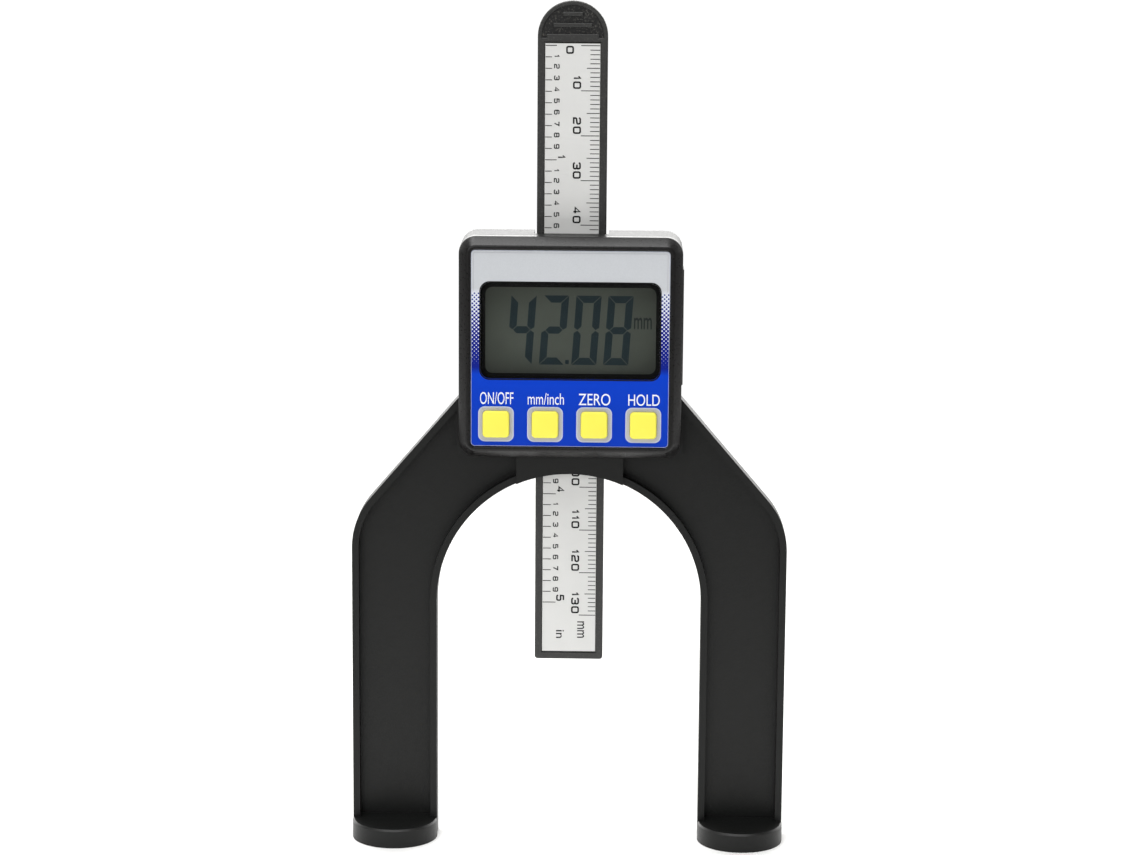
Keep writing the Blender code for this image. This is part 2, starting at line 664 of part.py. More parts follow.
def make_display(clear, glass, skin, rubber, gauge):
    """Window, display, its holder and the two rubber connectors that feed it."""
    low, high = WINDOW_MIDDLE - LENS_Z, WINDOW_MIDDLE + LENS_Z
    finish(box("lcd_window", (-LENS_X, LENS_FRONT, low), (LENS_X, LENS_BACK, high), PARTS), clear, gauge)

    wide, tall = LENS_X - GLASS_INSET, LENS_Z - GLASS_INSET
    cell = box("lcd_cell", (-wide, GLASS_FRONT, WINDOW_MIDDLE - tall),
               (wide, GLASS_MIDDLE, WINDOW_MIDDLE + tall), PARTS)
    short = tall - GLASS_LEDGE
    rear = box(
        "rear_glass", (-wide, GLASS_MIDDLE - GLASS_THICKNESS / 2, WINDOW_MIDDLE - short),
        (wide, GLASS_BACK, WINDOW_MIDDLE + short),
    )
    join(cell, rear)
    finish(cell, glass, gauge)

    inner_x, inner_z = LENS_X + SEAT_GAP, LENS_Z + SEAT_GAP
    outer_x, outer_z = inner_x + HOLDER_WALL, inner_z + HOLDER_WALL
    back = BOARD_FRONT - FIT_GAP
    holder = box("lcd_holder", (-outer_x, GLASS_FRONT, WINDOW_MIDDLE - outer_z),
                 (outer_x, back, WINDOW_MIDDLE + outer_z), PARTS)
    cut(holder, box("holder_opening", (-inner_x, GLASS_FRONT - OVERRUN, WINDOW_MIDDLE - inner_z),
                    (inner_x, BOARD_FRONT + OVERRUN, WINDOW_MIDDLE + inner_z)))
    finish(holder, skin, gauge)

    spare = GLASS_LEDGE - ZEBRA_THICKNESS
    start = short + spare / 2
    for word, side in (("upper", 1), ("lower", -1)):
        ends = sorted((WINDOW_MIDDLE + side * start, WINDOW_MIDDLE + side * (start + ZEBRA_THICKNESS)))
        zebra = box(
            "zebra_" + word, (ZEBRA_INSET - LENS_X, GLASS_MIDDLE + SEAT_GAP, ends[0]),
            (LENS_X - ZEBRA_INSET, BOARD_FRONT - SEAT_GAP, ends[1]), PARTS,
        )
        finish(zebra, rubber, gauge)


def make_board(laminate, copper, epoxy, steel, gauge):
    """Circuit board with the reading field, the covered chip, the crystal and the key domes."""
    side = CAVITY_HALF - BOARD_MARGIN
    cut_side = side - BOARD_CORNER_CUT
    right = [(cut_side, -side), (side, -cut_side), (side, cut_side), (cut_side, side)]
    outline = [(x, HEAD_MIDDLE + z) for x, z in right + [(-x, z) for x, z in reversed(right)]]
    board = plate("main_pcb", [outline], BOARD_FRONT, BOARD_BACK, PARTS)
    cut(board, *holes("pcb_hole", pcb_screw_places(), BOARD_FRONT - OVERRUN, BACKWARD,
                      BOARD_THICKNESS + 2 * OVERRUN, PCB_SCREW_SHANK + THREAD_GAP))
    finish(board, laminate, gauge)

    start = BOARD_BACK + FILM_GAP
    half = BEAM_HALF - ELECTRODE_INSET
    reach = side - ELECTRODE_END
    field = box("reader_electrodes", (-half, start, HEAD_MIDDLE - reach),
                (half, start + ELECTRODE_THICKNESS, HEAD_MIDDLE + reach), PARTS)
    finish(field, copper, gauge)

    face = BOARD_FRONT - FILM_GAP
    angles = [math.pi / 2 * step / CORNER_SIDES for step in range(CORNER_SIDES + 1)]
    drop = [(CHIP_RADIUS * math.sin(angle), CHIP_HEIGHT * math.cos(angle)) for angle in angles] + [(0, 0)]
    finish(turned("chip_cap", drop, (0, face, WINDOW_MIDDLE), FORWARD, DISC_SIDES // 2), epoxy, gauge)

    height = WINDOW_MIDDLE - WINDOW_HEIGHT / 2 + CRYSTAL_MARGIN
    end = (CRYSTAL_END - CAVITY_HALF, face - CRYSTAL_RADIUS, height)
    crystal = rod("quartz_crystal", end, ACROSS, CRYSTAL_LENGTH, CRYSTAL_RADIUS, SCREW_SIDES, PARTS)
    finish(crystal, steel, gauge)

    for index, x in enumerate(key_places()):
        dome = rod(
            f"key_dome_{index + 1}", (x, face, KEYS_MIDDLE), FORWARD, DOME_HEIGHT, DOME_RADIUS, SCREW_SIDES,
            PARTS, DOME_CROWN_RADIUS,
        )
        finish(dome, steel, gauge)


def make_keys(skin, gauge):
    """Four square key caps, each with a flange behind the cover and a stem over its dome."""
    half = KEY_SIZE / 2
    crown = LABEL_FRONT - KEY_PROUD
    flange_front = PLATE_INSIDE + FIT_GAP
    flange_back = flange_front + KEY_FLANGE_THICKNESS
    stem_end = BOARD_FRONT - FILM_GAP - DOME_HEIGHT - FILM_GAP - KEY_TRAVEL
    wide = half + KEY_FLANGE
    for name, x in zip(KEY_NAMES, key_places()):
        travel = carrier(name + "_travel", (x, crown, KEYS_MIDDLE), gauge)
        soft = rounded_box(half - KEY_CROWN_INSET, half - KEY_CROWN_INSET, KEY_CORNER, (x, KEYS_MIDDLE))
        full = rounded_box(half, half, KEY_CORNER, (x, KEYS_MIDDLE))
        middle = flange_front + KEY_FLANGE_THICKNESS / 2
        cap = lofted(name, [(crown, soft), (crown + KEY_CROWN_DEPTH, full), (middle, full)])
        flange = plate(
            name + "_flange", [rounded_box(wide, wide, KEY_CORNER + RUN_GAP, (x, KEYS_MIDDLE))],
            flange_front, flange_back,
        )
        stem = rod(name + "_stem", (x, middle, KEYS_MIDDLE), BACKWARD, stem_end - middle, KEY_STEM_RADIUS)
        join(cap, flange, stem)
        finish(cap, skin, travel)


def beam_outline(inset=0):
    """Outline of the beam: two small corners at its tip, a half circle at its head."""
    side, low, quarter = BEAM_HALF - TIP_CORNER, READING + TIP_CORNER, math.pi / 2
    left = arc((-side, low), TIP_CORNER - inset, 2 * quarter, 3 * quarter, CORNER_SIDES)
    right = arc((side, low), TIP_CORNER - inset, 3 * quarter, 4 * quarter, CORNER_SIDES)
    return left + right + arc((0, BEAM_TOP - BEAM_HALF), BEAM_HALF - inset, 0, 2 * quarter, FOOT_SIDES // 2)


def make_beam(skin, laminate, film, gauge):
    """Beam with a bed for the scale and a ribbed grip at its head, the encoder strip and the scale label."""
    slide = carrier("beam_slide", (0, BEAM_FRONT, READING), gauge)
    beam = lofted("beam", [
        (BEAM_FRONT, beam_outline(BEAM_CHAMFER)), (BEAM_FRONT + BEAM_CHAMFER, beam_outline()),
        (BEAM_BACK - BEAM_CHAMFER, beam_outline()), (BEAM_BACK, beam_outline(BEAM_CHAMFER)),
    ])
    side = BEAM_HALF - SIDE_RAIL
    bed = box("scale_bed", (-side, BEAM_FRONT - OVERRUN, SCALE_BOTTOM),
              (side, BEAM_FRONT + SCALE_RECESS, SCALE_TOP))
    radius = BEAM_HALF - GRIP_RIM
    grip_bottom = SCALE_TOP + GRIP_DIVIDER
    rise = BEAM_TOP - BEAM_HALF - grip_bottom
    start = math.asin(max(0, -rise) / radius)
    field = arc((0, BEAM_TOP - BEAM_HALF), radius, start, math.pi - start, FOOT_SIDES // 2)
    if rise > 0:
        field += [(-radius, grip_bottom), (radius, grip_bottom)]
    cut(beam, bed, plate("grip_field", [field], BEAM_FRONT - OVERRUN, BEAM_FRONT + GRIP_DEPTH))
    for index, share in enumerate(GRIP_RIB_SHARES):
        low = grip_bottom + GRIP_RIB_PITCH * index
        join(beam, box(f"grip_rib_{index + 1}", (-radius * share, BEAM_FRONT, low),
                       (radius * share, BEAM_FRONT + 2 * GRIP_DEPTH, low + GRIP_RIB)))
    finish(beam, skin, slide)

    half = side - SEAT_GAP
    low, high = SCALE_BOTTOM + SEAT_GAP, SCALE_TOP - SEAT_GAP
    front = BEAM_FRONT + SCALE_SINK
    label_back = front + SCALE_FILM
    ends = SCALE_BOTTOM + FILM_END_GAP, SCALE_TOP - FILM_END_GAP
    finish(box("scale_label", (-half, front, ends[0]), (half, label_back, ends[1]), PARTS), film, slide)
    strip = box("encoder_strip", (-half, label_back + FILM_GAP, low),
                (half, label_back + FILM_GAP + STRIP_THICKNESS, high), PARTS)
    finish(strip, laminate, slide)


def make_back(skin, steel, gauge):
    """Back plate that closes the beam's channel, and the leaf that takes out the beam's play."""
    tongue = CHANNEL_HALF - FIT_GAP
    lower_end, upper_end = PLATE_BOTTOM + LOWER_EAR, PLATE_TOP - UPPER_EAR
    back = box("back_plate", (-tongue, TONGUE_FRONT, PLATE_BOTTOM), (tongue, PLATE_BACK, PLATE_TOP), PARTS)
    join(
        back,
        box("lower_ears", (-EAR_HALF, EAR_FRONT, PLATE_BOTTOM), (EAR_HALF, PLATE_BACK, lower_end)),
        box("upper_ears", (-EAR_HALF, EAR_FRONT, upper_end), (EAR_HALF, PLATE_BACK, PLATE_TOP)),
    )
    cut(
        back,
        *holes("plate_screw_hole", plate_screw_places(), EAR_FRONT - OVERRUN, BACKWARD,
               EAR_THICKNESS + 2 * OVERRUN, PLATE_SCREW_SHANK + RUN_GAP),
        rod("pad_pocket", (0, TONGUE_FRONT + PAD_POCKET, HEAD_MIDDLE), FORWARD, PAD_POCKET + OVERRUN,
            PAD_RADIUS + RUN_GAP, DISC_SIDES),
        rod("stud_bore", (0, TONGUE_FRONT, HEAD_MIDDLE), BACKWARD, TONGUE_THICKNESS + OVERRUN,
            STUD_RADIUS + RUN_GAP),
    )
    finish(back, skin, gauge)

    seat = FILM_GAP - CHANNEL_HALF
    bow = CHANNEL_SIDE - SPRING_THICKNESS - 3 * FILM_GAP
    steps = 2 * FILLET_SIDES
    outer = []
    for step in range(steps + 1):
        along = step / steps
        height = PLATE_BOTTOM + SPRING_END + (HEAD_SIZE - 2 * PLATE_INSET - 2 * SPRING_END) * along
        outer.append((seat + bow * math.sin(math.pi * along) ** 2, height))
    inner = [(x + SPRING_THICKNESS, z) for x, z in reversed(outer)]
    middle = (BEAM_FRONT + BEAM_BACK) / 2
    leaf = plate("guide_spring", [outer + inner], middle - SPRING_WIDTH / 2, middle + SPRING_WIDTH / 2, PARTS)
    finish(leaf, steel, gauge)


def make_lock(brass, steel, skin, gauge):
    """Lock: a pad behind the beam, a stud through the back plate and a fluted knob."""
    axis = carrier("lock_axis", (0, PAD_FRONT, HEAD_MIDDLE), gauge)
    pad = rod("lock_pad", (0, PAD_FRONT, HEAD_MIDDLE), BACKWARD, PAD_THICKNESS, PAD_RADIUS, DISC_SIDES, PARTS)
    finish(pad, brass, axis)
    start = PAD_BACK + FILM_GAP
    length = KNOB_FRONT + KNOB_SOCKET - FILM_GAP - start
    stud = rod("lock_stud", (0, start, HEAD_MIDDLE), BACKWARD, length, STUD_RADIUS, SCREW_SIDES, PARTS)
    finish(stud, steel, axis)

    count = KNOB_FLUTES * FLUTE_SIDES
    rim, soft = [], []
    for index in range(count):
        angle = 2 * math.pi * index / count
        radius = KNOB_RADIUS - KNOB_FLUTE_DEPTH * (1 - math.cos(KNOB_FLUTES * angle)) / 2
        rim.append((radius * math.cos(angle), radius * math.sin(angle)))
        soft.append(((radius - KNOB_EDGE) * math.cos(angle), (radius - KNOB_EDGE) * math.sin(angle)))
    knob = lofted("lock_knob", [
        (0, soft), (KNOB_EDGE, rim), (KNOB_THICKNESS - KNOB_EDGE, rim), (KNOB_THICKNESS, soft),
    ], PARTS, (0, KNOB_FRONT, HEAD_MIDDLE))
    cut(knob, rod("knob_socket", (0, KNOB_FRONT - OVERRUN, HEAD_MIDDLE), BACKWARD, OVERRUN + KNOB_SOCKET,
                  STUD_RADIUS + SEAT_GAP))
    finish(knob, skin, axis)


def make_battery(skin, steel, gauge):
    """Drawer with its door and cell hole, the button cell, and the two leaf contacts."""
    slide = carrier("drawer_slide", (DOOR_INSIDE, CELL_MIDDLE, WINDOW_MIDDLE), gauge)
    drawer = box(
        "battery_drawer", (TRAY_START, CELL_MIDDLE - TRAY_DEPTH / 2, WINDOW_MIDDLE - TRAY_HALF),
        (DOOR_INSIDE + DOOR_THICKNESS / 2, CELL_MIDDLE + TRAY_DEPTH / 2, WINDOW_MIDDLE + TRAY_HALF), PARTS,
    )
    door = box("drawer_door", (DOOR_INSIDE, DOOR_FRONT, WINDOW_MIDDLE - DOOR_HEIGHT / 2),
               (DOOR_OUTSIDE, DOOR_BACK, WINDOW_MIDDLE + DOOR_HEIGHT / 2))
    edge = door.modifiers.new("soft_edge", "BEVEL")
    edge.width = DOOR_EDGE
    edge.segments = 2
    join(drawer, door)
    cut(drawer, rod("cell_hole", (CELL_X, CELL_FRONT - OVERRUN, WINDOW_MIDDLE), BACKWARD,
                    CELL_THICKNESS + 2 * OVERRUN, CELL_RADIUS + RUN_GAP, DISC_SIDES))
    finish(drawer, skin, slide)

    cell = [
        (0, CELL_THICKNESS), (CELL_RADIUS - CELL_EDGE, CELL_THICKNESS),
        (CELL_RADIUS, CELL_THICKNESS - CELL_EDGE), (CELL_RADIUS, 0), (0, 0),
    ]
    battery = turned("button_cell", cell, (CELL_X, CELL_BACK, WINDOW_MIDDLE), FORWARD, DISC_SIDES)
    finish(battery, steel, slide)

    tray_front, tray_back = CELL_MIDDLE - TRAY_DEPTH / 2, CELL_MIDDLE + TRAY_DEPTH / 2
    leaves = (("front", tray_front - SEAT_GAP - CONTACT_THICKNESS), ("back", tray_back + SEAT_GAP))
    for word, start in leaves:
        side, reach = CONTACT_WIDTH / 2, TRAY_HALF - CONTACT_END
        leaf = box("contact_" + word, (CELL_X - side, start, WINDOW_MIDDLE - reach),
                   (CELL_X + side, start + CONTACT_THICKNESS, WINDOW_MIDDLE + reach), PARTS)
        finish(leaf, steel, gauge)


def make_screws(name, places, seat, axis, head_radius, cap, shank_radius, reach, steel, gauge):
    """Slotted screws whose heads rest at one depth, their shanks along an axis."""
    profile = [
        (0, cap), (head_radius, cap), (head_radius, 0), (shank_radius, 0),
        (shank_radius, -reach), (0, -reach),
    ]
    outward = tuple(-part for part in axis)
    for index, (x, z) in enumerate(places):
        screw = turned(f"{name}_{index + 1}", profile, (x, seat, z), outward, SCREW_SIDES)
        top = seat + outward[1] * cap
        ends = sorted((top + outward[1] * OVERRUN, top - outward[1] * SLOT_DEPTH))
        slot = box(f"{name}_slot_{index + 1}", (x - head_radius - OVERRUN, ends[0], z - SLOT_WIDTH / 2),
                   (x + head_radius + OVERRUN, ends[1], z + SLOT_WIDTH / 2))
        cut(screw, slot)
        finish(screw, steel, gauge)


def carry_cutters(gauge):
    """Let every cutter ride with the gauge, as the pieces do."""
    for item in collection(CUTTERS).objects:
        item.parent = gauge


def main():
    """Build the whole gauge."""
    clear_scene()
    black = material("black_plastic", (0.025, 0.025, 0.026), 0.45)
    charcoal = material("charcoal_plastic", (0.04, 0.038, 0.038), 0.4)
    blue = material("printed_film", (0.02, 0.08, 0.55), 0.35)
    silver = material("scale_film", (0.70, 0.70, 0.68), 0.4)
    clear = material("clear_plastic", (0.75, 0.78, 0.76), 0.05)
    olive = material("display_glass", (0.10, 0.11, 0.09), 0.15)
    yellow = material("yellow_plastic", (0.95, 0.85, 0.10), 0.4)
    green = material("board_laminate", (0.02, 0.16, 0.07), 0.4)
    grey = material("grey_rubber", (0.12, 0.12, 0.13), 0.8)
    epoxy = material("black_epoxy", (0.015, 0.015, 0.015), 0.3)
    copper = material("gilt_copper", (0.85, 0.62, 0.25), 0.3, 1.0)
    steel = material("plated_steel", (0.62, 0.62, 0.63), 0.3, 1.0)
    brass = material("brass", (0.78, 0.58, 0.25), 0.3, 1.0)

    gauge = carrier("gauge", (0, 0, 0))
    make_frame(black, gauge)
    make_magnets(steel, gauge)
    make_cover(charcoal, gauge)
    make_label(blue, gauge)
    make_display(clear, olive, charcoal, grey, gauge)
    make_board(green, copper, epoxy, steel, gauge)
    make_keys(yellow, gauge)
    make_beam(black, green, silver, gauge)
    make_back(black, steel, gauge)
    make_lock(brass, steel, charcoal, gauge)
    make_battery(black, steel, gauge)
    make_screws(
        "cover_screw", cover_screw_places(), CASE_BACK - COVER_SCREW_SINK, FORWARD, COVER_SCREW_HEAD,
        COVER_SCREW_CAP, COVER_SCREW_SHANK,
        CASE_BACK - COVER_SCREW_SINK - CASE_FLOOR + FIT_GAP + COVER_SCREW_GRIP, steel, gauge,
    )
    make_screws(
        "plate_screw", plate_screw_places(), PLATE_BACK + FILM_GAP, FORWARD, PLATE_SCREW_HEAD,
        PLATE_SCREW_CAP, PLATE_SCREW_SHANK, FILM_GAP + EAR_THICKNESS + PLATE_SCREW_GRIP, steel, gauge,
    )
    make_screws(
        "pcb_screw", pcb_screw_places(), BOARD_FRONT - FILM_GAP, BACKWARD, PCB_SCREW_HEAD,
        PCB_SCREW_CAP, PCB_SCREW_SHANK, CASE_FLOOR - BOARD_FRONT + FILM_GAP + PCB_SCREW_GRIP, steel, gauge,
    )
    carry_cutters(gauge)
    gauge.location.y = DEPTH_SHIFT


main()
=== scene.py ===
"""Looks of a digital height gauge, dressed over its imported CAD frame.

Sizes in the shape functions are in millimetres, X to the right and Z up. A depth is counted backwards from
the line through the middle of both feet, and one shift sets it to where the CAD stands.
"""

import math

import bmesh
import bpy
import numpy as np
from bpy.props import FloatProperty, FloatVectorProperty, IntProperty, PointerProperty
from bpy.types import Operator, Panel, PropertyGroup
from mathutils import Matrix, Vector
from mathutils.geometry import tessellate_polygon


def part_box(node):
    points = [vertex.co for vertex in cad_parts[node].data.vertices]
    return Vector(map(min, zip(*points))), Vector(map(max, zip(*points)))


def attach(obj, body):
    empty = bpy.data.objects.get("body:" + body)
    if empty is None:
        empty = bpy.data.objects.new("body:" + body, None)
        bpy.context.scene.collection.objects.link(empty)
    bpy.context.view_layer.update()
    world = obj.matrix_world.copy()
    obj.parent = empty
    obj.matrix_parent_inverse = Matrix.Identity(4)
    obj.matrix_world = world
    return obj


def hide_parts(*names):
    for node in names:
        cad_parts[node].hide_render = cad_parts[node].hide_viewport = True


bl_info = {
    "name": "Height gauge looks",
    "version": (1, 0, 0),
    "blender": (4, 5, 0),
    "location": "View3D > Sidebar > Gauge",
    "description": "Dresses a digital height gauge in moulded plastic, printed films and a display",
    "category": "Object",
}

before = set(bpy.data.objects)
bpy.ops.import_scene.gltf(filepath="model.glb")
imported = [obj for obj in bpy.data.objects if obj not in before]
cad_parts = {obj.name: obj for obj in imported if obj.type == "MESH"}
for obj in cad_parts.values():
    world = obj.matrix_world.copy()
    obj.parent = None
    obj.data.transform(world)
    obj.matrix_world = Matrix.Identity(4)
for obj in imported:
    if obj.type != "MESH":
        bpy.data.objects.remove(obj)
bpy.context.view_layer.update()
MM = 0.001


def cad_box(node):
    """Lowest and highest corners of a CAD node, in millimetres."""
    return np.array(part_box(node), dtype=float) / MM


# Where the CAD stands
BEAM_LOW, BEAM_HIGH = cad_box("beam")
COVER_LOW, COVER_HIGH = cad_box("front_cover")
LABEL_LOW, LABEL_HIGH = cad_box("face_label")
KNOB_LOW, KNOB_HIGH = cad_box("lock_knob")
# Depth of the beam's front, and the shift from depths to the CAD's Y
BEAM_DEPTH = 2.25
SHIFT = BEAM_LOW[1] - BEAM_DEPTH
HEAD_HALF = COVER_HIGH[0]
HEAD_MIDDLE = (COVER_LOW[2] + COVER_HIGH[2]) / 2
KEY_NODES = ("key_on_off", "key_units", "key_zero", "key_hold")
KEY_PLACES = [cad_box(node).mean(axis=0)[[0, 2]] for node in KEY_NODES]
LABEL_DEPTH = LABEL_LOW[1] - SHIFT
SCALE_DEPTH = cad_box("scale_label")[0][1] - SHIFT

# Window of the label: half width, half height, corner and middle
WINDOW_HALF_X, WINDOW_HALF_Z, WINDOW_CORNER = 20.0, 10.85, 2.0
WINDOW_MIDDLE = (0, HEAD_MIDDLE + 4.05)

# Keys: half side, corner and the grey square printed round each
KEY_HALF, KEY_CORNER = 3.0, 0.9
RING_HALF, RING_CORNER, RING_LINE = 4.0, 1.5, 0.26

# Scale: its zero above the beam's tip, and where its lines start and end
SCALE_ZERO = BEAM_LOW[2] + 140.4
SCALE_SPAN, SCALE_TENTHS, INCH = 130, 50, 25.4
LINE_END = 6.04
TEN_START, FIVE_START, UNIT_START = 1.93, 3.22, 3.98
INCH_END, TENTH_END = -3.45, -4.54
# Numerals of the scale: left edge, height over their line, and size as (wide, tall, thick)
ZERO_DIGIT, TENS_DIGIT = (-1.42, -1.83, (1.75, 1.75, 0.37)), (0.13, 0.42, (1.66, 1.82, 0.37))
INCH_DIGIT, TENTH_DIGIT = (-3.3, 0.3, (1.5, 1.84, 0.34)), (-4.08, -0.08, (1.08, 1.24, 0.24))


def srgb(code):
    """Turn an sRGB hex value into linear red, green and blue."""
    parts = [int(code[place:place + 2], 16) / 255 for place in (1, 3, 5)]
    return tuple(part / 12.92 if part <= 0.04045 else ((part + 0.055) / 1.055) ** 2.4 for part in parts)


def colour(name, text, code):
    """Colour property whose default is an sRGB hex value."""
    return FloatVectorProperty(name=name, description=text, default=srgb(code), subtype="COLOR", min=0, max=1)


def length(name, text, value):
    """Length property whose default is in millimetres."""
    return FloatProperty(name=name, description=text, default=value * MM, subtype="DISTANCE", unit="LENGTH")


class GaugeSizes(PropertyGroup):
    """Small sizes of the finish, over those of the CAD."""
    edge_round: length("Edge rounding", "Radius of the case moulding's edges", 0.25)
    trim_round: length("Trim rounding", "Radius of the edges of the small mouldings", 0.12)
    print_lift: length("Ink lift", "How far ink stands in front of its film", 0.02)
    key_crown: length("Key crown", "Rise of a key's domed front", 0.16)
    knob_flute: length("Flute depth", "Depth of the flutes on the lock knob", 0.32)
    halftone: length("Halftone period", "Period of the dots beside the window", 0.9)
    tick: length("Tick width", "Width of a line of the scale", 0.17)
    slant: FloatProperty(name="Digit slant", description="Slant of the display's digits",
                         default=math.radians(4), subtype="ANGLE", unit="ROTATION")
    flutes: IntProperty(name="Flutes", description="Flutes round the lock knob", default=18, min=3)


class GaugeColours(PropertyGroup):
    """Colours of the mouldings, films and inks."""
    case: colour("Case", "Black moulded case and stand", "#0d0e0d")
    cover: colour("Cover", "Warm black moulded cover", "#0e0d0d")
    slide: colour("Beam", "Black moulded beam", "#2c2c2b")
    silver: colour("Silver", "Silver part of the face label", "#c9ccd0")
    blue: colour("Blue", "Blue part of the face label", "#003ec6")
    navy: colour("Navy", "Dots beside the window", "#081d86")
    key: colour("Key", "Yellow keys", "#fcf35b")
    ring: colour("Key ring", "Grey square printed round a key", "#b3b3ba")
    ring_edge: colour("Ring edge", "Pale line round the grey square", "#bcc3d8")
    white_ink: colour("White ink", "Legends over the keys", "#f1f3fb")
    black_ink: colour("Black ink", "Lines and numerals of the scale", "#111112")
    scale_film: colour("Scale film", "White film of the scale", "#dcdcda")
    display: colour("Display", "Display where nothing is shown", "#4c514a")
    segment: colour("Segments", "Display where a segment is on", "#1d2b2f")


# Shapes, in millimetres: a path is rows of (x, z), and a surface is its corners and its faces

def rounded_path(half_x, half_z, radius, centre, sides=6):
    """Closed rounded rectangle: four quarter circles, centre + half - radius + radius (cos t, sin t)."""
    turns = np.arange(4)[:, None] * math.pi / 2 + np.linspace(0, math.pi / 2, sides + 1)[None, :]
    signs = np.array([(1, 1), (-1, 1), (-1, -1), (1, -1)])
    x = centre[0] + signs[:, :1] * (half_x - radius) + radius * np.cos(turns)
    z = centre[1] + signs[:, 1:] * (half_z - radius) + radius * np.sin(turns)
    return np.stack([x.ravel(), z.ravel()], axis=1)


def inset_path(path, amount):
    """Move each corner of a closed path inwards along its mitre: p + a (n1 + n2) / (1 + n1 . n2)."""
    edge = np.roll(path, -1, axis=0) - path
    edge = edge / np.linalg.norm(edge, axis=1, keepdims=True)
    after = np.stack([-edge[:, 1], edge[:, 0]], axis=1)
    before = np.roll(after, 1, axis=0)
    mitre = (before + after) / (1 + np.sum(before * after, axis=1, keepdims=True))
    return path + amount * mitre


def ring_faces(rings, count):
    """Four-sided faces between closed rings of as many corners, each with the ring after it."""
    row, place = np.arange(rings - 1)[:, None] * count, np.arange(count)[None, :]
    start, ahead = (row + place).ravel(), (row + (place + 1) % count).ravel()
    return np.stack([start, ahead, ahead + count, start + count], axis=1).tolist()


def carried(path, rows):
    """Profile carried round a closed path: row (inset, depth) sets the path in and places it."""
    rings = [np.insert(inset_path(path, inset), 1, depth, axis=1) for inset, depth in rows]
    return np.concatenate(rings), ring_faces(len(rings), len(path))


def flat(outlines, depth):
    """Flat face at a depth, filled between an outline and its holes."""
    loops = [[Vector((x, z, 0)) for x, z in outline] for outline in outlines]
    corners = np.insert(np.concatenate(outlines), 1, depth, axis=1)
    return corners, [list(face) for face in tessellate_polygon(loops)]


def band(path, outer, inner, depth):
    """Flat band between two insets of a closed path."""
    return carried(path, [(outer, depth), (inner, depth)])


def lathe(rows, centre, sides, flutes=0, dip=0):
    """Turned form about a line along Y, for rows (r, depth, w).

    At angle t its radius is r - dip w (1 - cos(n t)) / 2, with n the number of flutes.
    """
    turn = np.linspace(0, 2 * math.pi, sides, endpoint=False)[None, :]
    radius, depth, share = np.array(rows, dtype=float).T[:, :, None]
    reach = radius - dip * share * (1 - np.cos(flutes * turn)) / 2
    corners = np.stack([
        centre[0] + reach * np.cos(turn), depth + 0 * turn, centre[1] + reach * np.sin(turn)
    ], axis=2).reshape(-1, 3)
    return corners, ring_faces(len(rows), sides)


def strips(x_low, x_high, z_low, z_high, depth):
    """Flat rectangles at one depth, one for each entry of the four arrays."""
    sides = np.broadcast_arrays(x_low, x_high, z_low, z_high)
    x0, x1, z0, z1 = [np.asarray(side, dtype=float) for side in sides]
    x = np.stack([x0, x1, x1, x0], axis=1).ravel()
    z = np.stack([z0, z0, z1, z1], axis=1).ravel()
    corners = np.stack([x, np.full_like(x, depth), z], axis=1)
    return corners, np.arange(len(x)).reshape(-1, 4).tolist()


def lettering(text, x_range, z_range, depth, turned=False, weight=0.0):
    """Flat letters that fill a box, upright or with their tops turned to the right, thickened by a weight."""
    curve = bpy.data.curves.new("lettering", "FONT")
    curve.body = text
    curve.offset = weight
    carrier = bpy.data.objects.new("lettering", curve)
    mesh = bpy.data.meshes.new_from_object(carrier)
    points = np.empty(len(mesh.vertices) * 3)
    mesh.vertices.foreach_get("co", points)
    points = points.reshape(-1, 3)[:, :2]
    faces = [list(face.vertices) for face in mesh.polygons]
    bpy.data.objects.remove(carrier)
    bpy.data.curves.remove(curve)
    bpy.data.meshes.remove(mesh)
    low, high = points.min(axis=0), points.max(axis=0)
    share = (points - low) / (high - low)
    along, up = share[:, 0], share[:, 1]
    if turned:
        along, up = up, 1 - along
    x = x_range[0] + along * (x_range[1] - x_range[0])
    z = z_range[0] + up * (z_range[1] - z_range[0])
    return np.stack([x, np.full_like(x, depth), z], axis=1), faces


